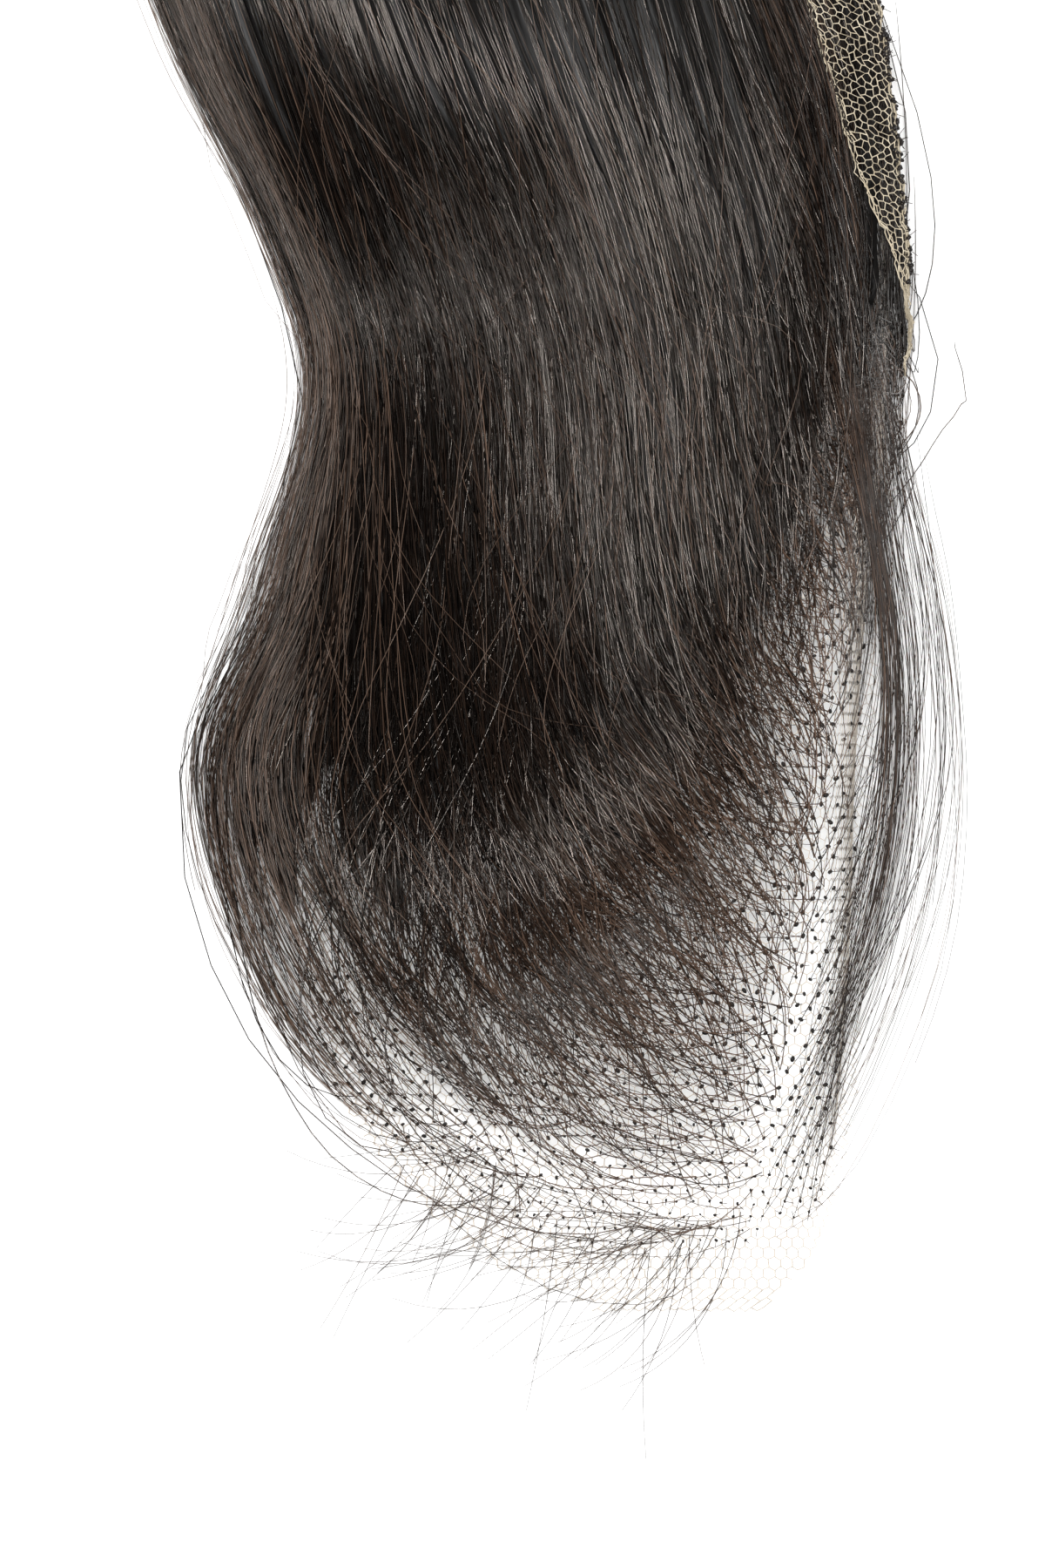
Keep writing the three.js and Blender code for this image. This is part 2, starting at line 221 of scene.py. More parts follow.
def beadTree():
    tree, given, last = newTree("beadsOnPoints", [("Bead Radius", "Float"), ("Smallest", "Float"),
                                                  ("Seed", "Int"), ("Finish", "Material")])
    add, link = tree.nodes.new, tree.links.new
    bead = add("GeometryNodeMeshIcoSphere")
    bead.inputs["Subdivisions"].default_value = beadForm["subdivisions"]
    flatten = add("GeometryNodeTransform")
    flatten.inputs["Scale"].default_value = beadForm["scale"]
    place = add("GeometryNodeInstanceOnPoints")
    turn, size = add("FunctionNodeRandomValue"), add("FunctionNodeRandomValue")
    turn.data_type, size.data_type = "FLOAT_VECTOR", "FLOAT"
    turn.inputs["Min"].default_value = (-beadForm["tilt"], -beadForm["tilt"], 0.0)
    turn.inputs["Max"].default_value = (beadForm["tilt"], beadForm["tilt"], 2 * math.pi)
    toTurn = add("FunctionNodeEulerToRotation")
    largest = next(s for s in size.inputs if s.name == "Max" and s.type == "VALUE")
    smallest = next(s for s in size.inputs if s.name == "Min" and s.type == "VALUE")
    largest.default_value = beadForm["largest"]
    link(given.outputs["Smallest"], smallest)
    wire(tree, [(given, "Seed", turn, "Seed"), (given, "Seed", size, "Seed"),
                (given, "Bead Radius", bead, "Radius"), (bead, "Mesh", flatten, "Geometry"),
                (given, "Geometry", place, "Points"), (flatten, "Geometry", place, "Instance"),
                (turn, "Value", toTurn, "Euler"), (toTurn, "Rotation", place, "Rotation")])
    drawnSize = next(s for s in size.outputs if s.type == "VALUE")
    sized = reckoned(tree.nodes, tree.links, "ShaderNodeMath", "MULTIPLY", drawnSize, shareOf(tree, "size"))
    link(sized, place.inputs["Scale"])
    link(place.outputs["Instances"], last)
    return tree


def growTree(piece, tree, inputs):
    grown = piece.modifiers.new(tree.name, "NODES")
    grown.node_group = tree
    for socket in tree.interface.items_tree:
        if socket.in_out == "INPUT" and socket.name in inputs:
            grown[socket.identifier] = inputs[socket.name]
    depsgraph = bpy.context.evaluated_depsgraph_get()
    mesh = bpy.data.meshes.new_from_object(piece.evaluated_get(depsgraph), preserve_all_data_layers=True,
                                           depsgraph=depsgraph)
    piece.modifiers.remove(grown)
    piece.data = mesh
    mesh.name = piece.name
    mesh.polygons.foreach_set("use_smooth", np.ones(len(mesh.polygons), bool))
    return piece


tubes, beads = tubeTree(), beadTree()


def threadPiece(name, paths, radius, finish, sides=3):
    # each path has rows of x, y, z, thickness share, tint
    rows = np.concatenate(paths)
    own = np.repeat(rng.random(len(paths)), [len(path) for path in paths])
    ends = np.cumsum([len(path) for path in paths])
    linked = np.setdiff1d(np.arange(len(rows) - 1), ends - 1)
    piece = newPiece(name, rows[:, :3], np.column_stack([linked, linked + 1]).tolist())
    pointAttribute(piece, "thick", rows[:, 3])
    pointAttribute(piece, "tint", rows[:, 4])
    pointAttribute(piece, "own", own)
    growTree(piece, tubes, {"Radius": radius * mm, "Sides": sides, "Finish": finish})
    print(name, len(paths), "threads,", sum(len(p.vertices) - 2 for p in piece.data.polygons), "triangles")
    return piece


# Finishes: hair of three kinds of gloss, packed hair, thread and knots
def newFinish(name, roughness, specular):
    finish = bpy.data.materials.new(name)
    finish.use_nodes = True
    shader = finish.node_tree.nodes["Principled BSDF"]
    shader.inputs["Roughness"].default_value = roughness
    shader.inputs["Specular IOR Level"].default_value = specular
    return finish, finish.node_tree.nodes, finish.node_tree.links, shader


def paintRamp(nodes, links, shader, source, stops, shades):
    colours = nodes.new("ShaderNodeValToRGB")
    band = colours.color_ramp
    while len(band.elements) < len(stops):
        band.elements.new(0.5)
    for element, place, shade in zip(band.elements, stops, shades):
        element.position = place
        element.color = (*shade, 1)
    links.new(source, colours.inputs["Fac"])
    links.new(colours.outputs["Color"], shader.inputs["Base Color"])


def grain(nodes, links, source, scale, detail=3.0):
    noise = nodes.new("ShaderNodeTexNoise")
    noise.inputs["Scale"].default_value = scale
    noise.inputs["Detail"].default_value = detail
    links.new(source, noise.inputs["Vector"])
    return noise.outputs["Fac"]


def attributeOf(nodes, name):
    given = nodes.new("ShaderNodeAttribute")
    given.attribute_name = name
    return given.outputs["Fac"]


def addBump(nodes, links, shader, height, strength, distance):
    bump = nodes.new("ShaderNodeBump")
    bump.inputs["Strength"].default_value = strength
    bump.inputs["Distance"].default_value = distance
    links.new(height, bump.inputs["Height"])
    links.new(bump.outputs["Normal"], shader.inputs["Normal"])


def addGloss(nodes, links, shader, source, taken, given):
    # a range of the source, taken from one end to the other, gives a range of roughness
    gloss = nodes.new("ShaderNodeMapRange")
    for name, value in zip(("From Min", "From Max", "To Min", "To Max"), (*taken, *given)):
        gloss.inputs[name].default_value = value
    links.new(source, gloss.inputs["Value"])
    links.new(gloss.outputs["Result"], shader.inputs["Roughness"])


strandLook = dict(
    dark=(0.0007, 0.0005, 0.0004), brown=(0.0034, 0.0021, 0.0016), light=(0.028, 0.0160, 0.0106),
    palest=(0.13, 0.082, 0.058), stops=(0.06, 0.45, 0.8, 1.0), shine=(1.0, 0.89, 0.81, 1),
    apart=(7.0, 5.0, 3.0), grain=240.0, mottle=0.16, glossFrom=(0.35, 0.65)
)


def strandFinish(name, specular, glossy, dull):
    finish, nodes, links, shader = newFinish(name, dull, specular)
    shader.inputs["Specular Tint"].default_value = strandLook["shine"]
    place = nodes.new("ShaderNodeTexCoord").outputs["Object"]
    own = attributeOf(nodes, "own")  # one number for each hair, so that no two share a patch of gloss
    apart = reckoned(nodes, links, "ShaderNodeVectorMath", "MULTIPLY_ADD", own, strandLook["apart"], place)
    mottle = grain(nodes, links, apart, strandLook["grain"])
    tint = attributeOf(nodes, "tint")
    spread = reckoned(nodes, links, "ShaderNodeMath", "MULTIPLY_ADD", mottle, strandLook["mottle"], tint)
    shades = [strandLook[name] for name in ("dark", "brown", "light", "palest")]
    paintRamp(nodes, links, shader, spread, strandLook["stops"], shades)
    addGloss(nodes, links, shader, mottle, strandLook["glossFrom"], (glossy, dull))
    return finish


streakLook = dict(
    fine=(420.0, 5.0, 1.0), broad=(60.0, 2.2, 1.0), between=(0.0022, 0.0015, 0.0012),
    stops=(0.12, 0.34, 0.5), roughness=(0.42, 0.66), bump=(0.6, 0.0002)
)


def streakFinish():
    # under-layer of packed hair: streaks that run along the fall, from the piece's own UV map
    finish, nodes, links, shader = newFinish("packed dark hair", roughness=0.5, specular=0.3)
    flow = nodes.new("ShaderNodeUVMap")
    flow.uv_map = "flow"
    fine, broad = nodes.new("ShaderNodeMapping"), nodes.new("ShaderNodeMapping")
    fine.inputs["Scale"].default_value = streakLook["fine"]
    broad.inputs["Scale"].default_value = streakLook["broad"]
    for stretch in (fine, broad):
        links.new(flow.outputs["UV"], stretch.inputs["Vector"])
    fineStreaks = grain(nodes, links, fine.outputs["Vector"], 1.0)
    broadStreaks = grain(nodes, links, broad.outputs["Vector"], 1.0)
    both = reckoned(nodes, links, "ShaderNodeMath", "MULTIPLY", fineStreaks, broadStreaks)
    shades = [strandLook["dark"], streakLook["between"], strandLook["brown"]]
    paintRamp(nodes, links, shader, both, streakLook["stops"], shades)
    addGloss(nodes, links, shader, fineStreaks, (0, 1), streakLook["roughness"])
    addBump(nodes, links, shader, fineStreaks, *streakLook["bump"])
    return finish


yarnLook = dict(specular=0.3, detail=4.0, stops=(0.3, 0.7), bump=(0.35, 0.00003))


def yarnFinish(name, roughness, pale, deep, scale):
    finish, nodes, links, shader = newFinish(name, roughness, yarnLook["specular"])
    place = nodes.new("ShaderNodeTexCoord")
    fibres = grain(nodes, links, place.outputs["Object"], scale, yarnLook["detail"])
    paintRamp(nodes, links, shader, fibres, yarnLook["stops"], (deep, pale))
    addBump(nodes, links, shader, fibres, *yarnLook["bump"])
    return finish


hairSheen = strandFinish("glossy dark brown hair", specular=0.9, glossy=0.13, dull=0.28)
hairShade = strandFinish("shaded dark brown hair", specular=0.32, glossy=0.18, dull=0.36)
hairLoose = strandFinish("loose brown hair", specular=0.8, glossy=0.3, dull=0.46)
packedHair = streakFinish()
laceThread = yarnFinish("pale beige lace thread", roughness=0.7, scale=900.0,
                        pale=(0.80, 0.73, 0.65), deep=(0.62, 0.54, 0.45))
borderThread = yarnFinish("tan border thread", roughness=0.75, scale=700.0,
                          pale=(0.70, 0.62, 0.48), deep=(0.47, 0.39, 0.27))
knotHair = yarnFinish("black hair knot", roughness=0.45, scale=1500.0,
                      pale=(0.016, 0.011, 0.009), deep=(0.004, 0.003, 0.0025))

# Lace ground: a honeycomb of threads over the arch
lace = dict(
    pitch=1.1, threadRadius=0.067, meridian=24.0, front=-49.3, back=77.8, scan=0.4, scanX=(-36, 40),
    scanZ=(1.3, 31), edgeY=(30.0, 78.0, 0.5), wobble=0.03, sink=0.15, steep=(0.0, 6.0), steepThin=0.4
)


def laceProfile(y):
    # across one section: points found from above, and from the right on the steep flank
    found = [castFrom(laceSolid, (x, y, mapped["above"]), (0, 0, -1))
             for x in np.arange(*lace["scanX"], lace["scan"])]
    found += [castFrom(laceSolid, (mapped["above"], y, z), (-1, 0, 0))
              for z in np.arange(*lace["scanZ"], lace["scan"])]
    found = np.array([(hit[0], -hit[2]) for hit in found if hit is not None])
    found = found[np.lexsort((found[:, 1], found[:, 0]))]
    x, z = found[:, 0], -found[:, 1]
    run = np.concatenate([[0], np.cumsum(np.hypot(np.diff(x), np.diff(z)))])
    return x, z, run - np.interp(lace["meridian"], x, run)


def stagger(row, column, side):
    return side / 4 if (row + column) % 2 == 0 else -side / 4


def honeycomb(rows, place):
    # zigzags along the rows, with bars from one row to the next; place(row, column) gives a point or None
    paths, points = [], {}
    for row, columns in rows:
        zigzag = []
        for column in columns:
            point = place(row, column)
            if point is None:
                continue
            points[row, column] = point
            zigzag.append(point)
        if len(zigzag) > 1:
            paths.append(np.array(zigzag))
    for (row, column), point in points.items():
        if (row + column) % 2 == 0 and (row + 1, column) in points:
            paths.append(np.array([point, points[row + 1, column]]))
    return paths


def laceNet():
    half, side = lace["pitch"] / 2, lace["pitch"] / math.sqrt(3)
    count = int((lace["back"] - lace["front"]) / (1.5 * side))
    rowY = [lace["front"] + (row + 0.5) * 1.5 * side for row in range(count)]
    sections = [laceProfile(y) for y in rowY]
    widest = max(run[-1] - run[0] for x, z, run in sections)
    rows = [(row, range(math.ceil(run[0] / half), math.floor(run[-1] / half) + 1))
            for row, (x, z, run) in enumerate(sections)]

    def place(row, column):
        x, z, run = sections[row]
        at = column * half
        y = rowY[row] + stagger(row, column, side)
        wob = rng.normal(0, lace["wobble"], 2)
        thin = lace["steepThin"] * float(ramp(*lace["steep"], at))  # right of the parting, seen edge on
        height = np.interp(at, run, z) - lace["sink"]
        return np.interp(at, run, x) + wob[0], y + wob[1], height, 1 - thin, 0.0

    net = threadPiece("laceNet", honeycomb(rows, place), lace["threadRadius"], laceThread)
    return net, widest


laceGround, laceWidest = laceNet()
marginY = np.arange(*lace["edgeY"])
marginX = [laceProfile(y)[0][-1] for y in marginY]


def laceEdge(y):
    return np.interp(y, marginY, marginX)


# Turned border: a tan net standing on the right margin and folded back over the hair
border = dict(
    pitch=0.76, threadRadius=0.052, inset=0.1, base=1.5, fold=1.6, wobble=0.08, tallest=27,
    thick=(0.7, 1.45), tint=0.5, knots=110, knotsUp=(-2.4, 0.5), knotsOut=0.25,
    stations=[38.0, 42.0, 46.0, 56.0, 66.0, 77.6], upright=[3.0, 11.5, 17.6, 16.8, 15.0, 12.6],
    flap=[0.0, 0.3, 1.2, 3.9, 6.1, 8.0], lean=[0.0, 0.0, 40.0, 76.0, 70.0, 66.0]
)
hem = dict(threads=3, begin=3, step=0.4, apart=0.16, wave=0.14, turns=(2.1, 1.7), wobble=0.06)


def borderSize(name, y):
    at = np.interp(y, border["stations"], np.arange(len(border["stations"]), dtype=float))
    return float(cubic(np.array(border[name]).__getitem__, len(border[name]), np.array([at]))[0])


def borderTop(y):
    # the free edge, measured up the net
    return borderSize("upright", y) + borderSize("flap", y)


def borderPlace(y, up):
    turn = math.radians(borderSize("lean", y))
    bendStart = max(borderSize("upright", y) - border["fold"] * turn / 2, 0)
    angle = min(max((up - bendStart) / border["fold"], 0), turn)
    beyond = max(up - bendStart - border["fold"] * turn, 0)
    across = border["fold"] * (1 - math.cos(angle)) + beyond * math.sin(angle)
    height = min(up, bendStart) + border["fold"] * math.sin(angle) + beyond * math.cos(angle)
    return np.array([laceEdge(y) - border["inset"] - across, y, border["base"] + height, 1.0, border["tint"]])


def borderNet():
    half, side = border["pitch"] / 2, border["pitch"] / math.sqrt(3)
    low, high = border["stations"][0], border["stations"][-1]
    rows = [(row, range(int((high - low) / half))) for row in range(int(border["tallest"] / (1.5 * side)))]

    def place(row, column):
        y = low + column * half
        up = row * 1.5 * side + stagger(row, column, side)
        if not 0 <= up <= borderTop(y):
            return None
        point = borderPlace(y, up)
        point[:3] += rng.normal(0, border["wobble"], 3)
        point[3] = rng.uniform(*border["thick"])
        return point

    paths = honeycomb(rows, place)
    for thread in range(hem["threads"]):
        # the free edge is a few threads drawn close together
        y = np.arange(low + hem["begin"], high, hem["step"])
        inward = hem["apart"] * thread + hem["wave"] * np.sin(hem["turns"][0] * y + hem["turns"][1] * thread)
        line = np.array([borderPlace(at, borderTop(at) - back) for at, back in zip(y, inward)])
        line[:, :3] += rng.normal(0, hem["wobble"], (len(line), 3))
        paths.append(line)
    return threadPiece("borderNet", paths, border["threadRadius"], borderThread)


turnedBorder = borderNet()

# How the hair is combed: five guide lines from the parting to the tips, and where each one passes (mm)
comb = dict(
    firstStation=-2, dense=[2.2, 1.6, 0.6, 1.2, 1.9],
    left=[(21.2, -42.6), (3.2, -41.4), (-13.6, -31.2), (-24.8, -16.8), (-29.8, 0.8), (-24.8, 18.4),
          (-19.8, 36.8), (-24.0, 52.4), (-33.2, 72.0), (-44.0, 106.4), (-43.2, 156.0), (-32.8, 208.0),
          (-27.2, 244.0)],
    valley=[(23.0, -31.2), (14.0, -26.6), (4.8, -19.2), (-2.0, -11.2), (-7.6, -0.4), (-10.0, 17.6),
            (-11.2, 37.6), (-15.0, 51.0), (-22.4, 72.0), (-32.8, 108.0), (-32.8, 156.8), (-24.8, 209.6),
            (-21.2, 250.4)],
    crest=[(26.2, -11.2), (23.6, -6.8), (20.8, -2.4), (16.0, 4.0), (12.2, 11.2), (9.8, 22.4), (8.0, 36.8),
           (4.0, 51.2), (-4.0, 72.0), (-16.8, 109.6), (-20.0, 158.4), (-15.2, 212.0), (-14.4, 255.2)],
    shoulder=[(28.0, 1.6), (25.7, 6.4), (23.2, 11.2), (21.8, 15.2), (20.5, 20.0), (19.2, 28.8),
              (17.8, 40.0), (14.8, 51.2), (7.6, 72.8), (-3.2, 110.4), (-8.8, 159.2), (-6.4, 212.0),
              (-8.0, 252.0)],
    right=[(35.5, 33.6), (34.4, 37.2), (32.9, 40.8), (32.9, 42.4), (32.9, 44.0), (32.8, 46.4), (32.5, 50.4),
           (31.8, 58.4), (30.0, 72.0), (15.2, 110.4), (4.8, 159.2), (3.2, 210.4), (-0.8, 246.4)]
)
guideNames = ("left", "valley", "crest", "shoulder", "right")
guides = np.array([comb[name] for name in guideNames]).transpose(1, 0, 2)
guideU = np.linspace(0, 1, len(guideNames))


def denseFrom(u):
    return np.interp(u, guideU, comb["dense"])


def betweenGuides(table, t, at):
    # along every guide first, then across from one guide to the next
    rows = cubic(table.__getitem__, len(table), t)

    def pick(k):
        return np.take_along_axis(rows, k[..., None, None], axis=-2)[..., 0, :]

    return cubic(pick, table.shape[1], at * (table.shape[1] - 1))


def combed(u, t):
    return betweenGuides(guides, t - comb["firstStation"], u)


# Locks: strands of one lock draw together and ride a little higher or lower than the next lock
locks = dict(
    count=36, pull=0.42, pulls=(0.5, 1.3), shift=0.3, lift=0.45, closing=(-0.8, 3.2), opening=(6.5, 9.5),
    opened=0.35, wander=0.007, turns=1.05, wanderFrom=(0.3, 2.5)
)
lockShift = rng.uniform(-locks["shift"], locks["shift"], locks["count"])
lockPull = rng.uniform(*locks["pulls"], locks["count"])
lockPhase = rng.uniform(0, 2 * math.pi, locks["count"])
lockLift = rng.uniform(-1, 1, locks["count"])

# Wisps: near the parting a few groups meet in a point and part again
wisps = dict(count=16, half=0.03, pull=0.8, u=(0.0, 0.72), t=(-0.9, 0.9), closing=0.6, opening=(0.8, 2.4))
wispU = rng.uniform(*wisps["u"], wisps["count"])
wispT = rng.uniform(*wisps["t"], wisps["count"])


def lockOf(u):
    return np.clip((u * locks["count"]).astype(int), 0, locks["count"] - 1)


def drawTogether(u, t, wispy=True):
    lock = lockOf(u)
    middle = (lock + 0.5 + lockShift[lock]) / locks["count"]
    closed = ramp(*locks["closing"], t) * (1 - locks["opened"] * ramp(*locks["opening"], t))
    sway = locks["wander"] * np.sin(locks["turns"] * t + lockPhase[lock]) * ramp(*locks["wanderFrom"], t)
    drawn = u + (middle - u) * locks["pull"] * lockPull[lock] * closed + sway
    for wispMiddle, start in zip(wispU, wispT) if wispy else ():
        near = np.abs(u - wispMiddle) < wisps["half"]
        opened = ramp(start + wisps["opening"][0], start + wisps["opening"][1], t)
        pulled = wisps["pull"] * ramp(start - wisps["closing"], start, t) * (1 - opened)
        drawn = drawn + near * (wispMiddle - u) * pulled
    return drawn


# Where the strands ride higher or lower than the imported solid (mm), along the comb and across it
swells = {
    "hump": {"u": (0.02, 0.16, 0.48, 0.66), "t": [-0.6, 0.7, 2.5, 4.5, 5.8, 7.2],
             "rise": [0.0, 1.5, -2.0, -2.0, 1.2, 0.0]},
    "crown": {"u": (0.45, 0.55, 0.8, 0.92), "t": [5.0, 6.3, 8.2], "rise": [0.0, 1.6, 0.0]},
    "besideBorder": {"u": (0.74, 0.85, 0.94, 1.0), "t": [2.0, 4.7, 6.3, 8.6], "rise": [0.0, 3.4, 3.2, 0.0]},
}


def swell(u, t):
    total = np.zeros(np.broadcast(u, t).shape)
    for part in swells.values():
        rise, at = part["rise"], part["t"]
        along = rise[0] + sum((rise[k + 1] - rise[k]) * ramp(at[k], at[k + 1], t) for k in range(len(at) - 1))
        total = total + along * between(part["u"], u)
    return total


def smoothLine(values, rounds):
    for _ in range(rounds):
        padded = np.concatenate([values[:, :1], values, values[:, -1:]], axis=1)
        values = (padded[:, :-2] + 2 * padded[:, 1:-1] + padded[:, 2:]) / 4
    return values


# One strand: its thickness, how far it sways and bends, and how it lies
anyPhase = (0, 6.3)
strand = dict(
    radius=0.054, topShare=1.1, tailShare=1.15, looseShare=0.9, turns=(0.8, 2.0), swayFrom=(0, 2),
    pastLeft=0.012, widest=1.8, crossRun=(14, 32), wildT=(0.2, -1.6), edgeU=0.25, edgeBend=(1.0, 8.0, 7.0),
    edgeT=(0.8, -0.4), smoothing=3, highest=1.6, archRun=26.0, diveFrom=0.86, clear=0.12,
    thick=(0.7, 0.5, 0.55), tipFrom=0.8, tintWave=0.08, tintTurns=(3, 6), rootT=(-0.4, 2.2)
)


def tapered(count, s, thick):
    # thickness shares: the least, what chance adds, and what the tip loses
    least, more, lost = thick
    return (least + more * rng.random((count, 1))) * (1 - lost * ramp(strand["tipFrom"], 1.0, s))


def strandLines(u0, t0, t1, look):
    # one strand from each start, as rows of x, y, z, thickness share, tint
    count, steps = len(u0), look["steps"]
    s = np.linspace(0, 1, steps)[None, :] ** look["rootDense"]
    t = t0[:, None] + (t1 - t0)[:, None] * s
    u = np.repeat(u0[:, None], steps, axis=1)
    drift = look["drift"](u, t)
    sway = rng.normal(0, look["sway"], (count, 1))
    turns = anyOf(strand["turns"], count)
    sway = sway * np.sin(turns * t + anyOf(anyPhase, count))
    sway = sway * ramp(*strand["swayFrom"], t - t0[:, None])
    u = u + (drawTogether(u, t) - u) * look["bunch"] + drift + sway
    u = np.maximum(u, np.minimum(u0, 0.0)[:, None] - strand["pastLeft"])  # none sways far past the left edge
    flat = combed(u, t)
    away = np.diff(flat, axis=1, append=2 * flat[:, -1:] - flat[:, -2:-1])
    length = np.hypot(*away.transpose(2, 0, 1))
    gone = np.concatenate([np.zeros((count, 1)), np.cumsum(length[:, :-1], axis=1)], axis=1)
    square = np.stack([-away[..., 1], away[..., 0]], axis=-1) / np.maximum(length, 1e-6)[..., None]
    wild = 1 + look["frontWild"] * ramp(*strand["wildT"], t0)[:, None]  # the first rows lie the loosest
    fan, stray = np.clip(rng.normal(0, 1, (2, count, 1)), -strand["widest"], strand["widest"])
    bend = look["splay"] * fan * gone * np.exp(-gone / anyOf(look["loose"], count))
    bend = bend + look["cross"] * stray * gone * np.exp(-gone / anyOf(strand["crossRun"], count))
    bend = bend * wild
    least, byU, byT = strand["edgeBend"]  # the left edge stays in line, the front does not
    furthest = least + byU * u0 + byT * ramp(*strand["edgeT"], t0)
    bend = np.where(u0[:, None] < strand["edgeU"], np.minimum(bend, furthest[:, None]), bend)
    flat = flat + square * bend[..., None]
    ground = smoothLine(sample(bedTop, *split(flat)) + swell(u, t), strand["smoothing"])
    top = np.clip(rng.normal(look["lie"], look["spread"], (count, 1)), look["deepest"], strand["highest"])
    top = top + locks["lift"] * lockLift[lockOf(u0)][:, None]
    rise = ramp(0, look["rise"], gone)
    arch = rng.uniform(0, look["arch"], (count, 1)) * np.sin(np.pi * np.clip(gone / strand["archRun"], 0, 1))
    dive = look["dive"] * ramp(strand["diveFrom"], 1.0, s)
    z = ground + look["start"] * (1 - rise) + top * rise + arch - dive
    wave = anyOf(look["wave"], count)
    z = z + look["ripple"] * rise * np.sin(2 * np.pi * gone / wave + anyOf(anyPhase, count))
    z = np.maximum(z, sample(laceTop, *split(flat)) + strand["clear"])
    thick = tapered(count, s, strand["thick"])
    tint = rng.normal(look["tint"], look["tintSpread"], (count, 1))
    along, apart = strand["tintTurns"]
    tint = np.clip(tint + strand["tintWave"] * np.sin(along * s + apart * rng.random((count, 1))), 0, 1)
    # lighter toward the roots, where the hair lies thin and open: partly the hair's own brown, partly painted
    # light through thin hair
    tint = tint + look["rootBrownAndPaintedLight"] * (1 - ramp(*strand["rootT"], t))
    return np.dstack([flat, z, thick, np.clip(tint, 0, 1)])


def linesBetween(u, starts, ends, look):
    # strands that start and end anywhere between two stations
    t0 = rng.uniform(*starts, len(u))
    return strandLines(u, t0, rng.uniform(*ends, len(u)), look)


# Where the strands leave their guides: at the waist, beside the border and at the front edge
inset = dict(
    waist=0.034, waistT=(2.0, 3.0, 3.9, 4.8), waistU=(0.16, 0.0), besideBorder=0.006, besideU=(0.78, 1.0),
    front=0.34, frontU=(0.4, 0.0), frontRun=3
)


def drawnIn(u, t):
    # inward at the left of the waist, and beside the border
    waist = inset["waist"] * between(inset["waistT"], t) * ramp(*inset["waistU"], u)
    return waist - inset["besideBorder"] * np.maximum(t, 0) * ramp(*inset["besideU"], u)


def combedOver(u, t):
    # hair of the front edge spreads over the crown
    share = inset["front"] * rng.random((len(u), 1))
    spread = share * ramp(*inset["frontU"], u) * ramp(0, inset["frontRun"], t - t[:, :1])
    return spread + drawnIn(u, t)


# the root share lightens each kind of hair near its roots: partly its own brown, partly painted light through
# thin open hair
hairline = dict(
    steps=21, rootDense=1.6, sway=0.011, loose=(4.0, 10.0), splay=0.5, cross=0.24, frontWild=1.4, lie=0.2,
    spread=0.35, deepest=-0.6, ripple=0.36, wave=(14.0, 24.0), bunch=1.0, rise=8.0, arch=1.4, start=0.12,
    dive=0.9, tint=0.30, tintSpread=0.18, rootBrownAndPaintedLight=0.56, drift=combedOver
)
under = dict(hairline, steps=14, lie=-0.2, dive=1.6)
sheen = dict(hairline, steps=42, lie=0.7, spread=0.4, ripple=0.24, wave=(9.0, 18.0), tint=0.36,
             tintSpread=0.16, rootBrownAndPaintedLight=0.45)
fill = dict(hairline, steps=17, rootDense=1.0, splay=0.1, cross=0.05, frontWild=0.0, lie=0.0, arch=0.3,
            start=-1.2, tint=0.2, rootBrownAndPaintedLight=0.2, drift=drawnIn)

# Knots stand in the lace in close rows; each holds up to three hairs
knots = dict(
    spacing=1.42, jitter=0.16, x=(-26, 38), y=(-45, 50), searched=(121, 91), searchedTo=1.6, reach=0.7,
    lastStation=1.1, aboveFloor=0.9, hairsU=[0.0, 0.15, 0.3, 0.5], hairs=[0.45, 0.95, 1.9, 2.9],
    frontThin=0.6, thinU=(0.12, 0.02), thinT=(-0.3, -1.1), rootSpread=0.0015, tips=(6.7, 7.6),
    glossy=540, openShare=0.62, coveredRun=(2.6, 4.2), shownTo=0.9, radius=0.24, smallest=0.75, seed=7,
    lift=0.05, frontSize=0.62, frontY=(-42, -24), tail=(0.4, 1.0), tailRise=(0.1, 0.5), tailThick=0.8,
    tailTint=0.5
)


def knotPlaces():
    x = np.arange(*knots["x"], knots["spacing"])
    y = np.arange(*knots["y"], knots["spacing"] * math.sqrt(3) / 2)
    gx, gy = np.meshgrid(x, y)
    gx = gx + (np.arange(len(y)) % 2)[:, None] * knots["spacing"] / 2
    places = np.column_stack([gx.ravel(), gy.ravel()])
    return places + rng.normal(0, knots["jitter"], places.shape)


def nearestComb(places):
    columns, rows = knots["searched"]
    stations = np.linspace(comb["firstStation"], knots["searchedTo"], rows)
    u, t = np.meshgrid(np.linspace(0, 1, columns), stations)
    grid = combed(u, t).reshape(-1, 2)
    found = []
    for place in places:
        apart = np.hypot(*(grid - place).T)
        best = int(np.argmin(apart))
        found.append((u.ravel()[best], t.ravel()[best], apart[best]))
    return np.array(found)


knotSpots = knotPlaces()
knotHeights = sample(laceTop, *knotSpots.T)
combSpots = nearestComb(knotSpots)
onMain = (combSpots[:, 2] < knots["reach"]) & (combSpots[:, 1] < knots["lastStation"])
onMain = onMain & (knotHeights > knots["aboveFloor"])
mainSpots, mainComb = knotSpots[onMain], combSpots[onMain]
print(len(mainSpots), "knots left of the parting")

hairsHeld = np.interp(mainComb[:, 0], knots["hairsU"], knots["hairs"])
frontEdge = ramp(*knots["thinU"], mainComb[:, 0]) * ramp(*knots["thinT"], mainComb[:, 1])
hairsHeld = hairsHeld * (1 - knots["frontThin"] * frontEdge)
each = np.floor(hairsHeld + rng.random(len(hairsHeld))).astype(int)
rootComb = np.repeat(mainComb, each, axis=0)
rootComb[:, 0] += rng.normal(0, knots["rootSpread"], len(rootComb))
tipsAt = anyFor(knots["tips"], rootComb)
chosen = rng.permutation(len(rootComb))
glossy = chosen < knots["glossy"]
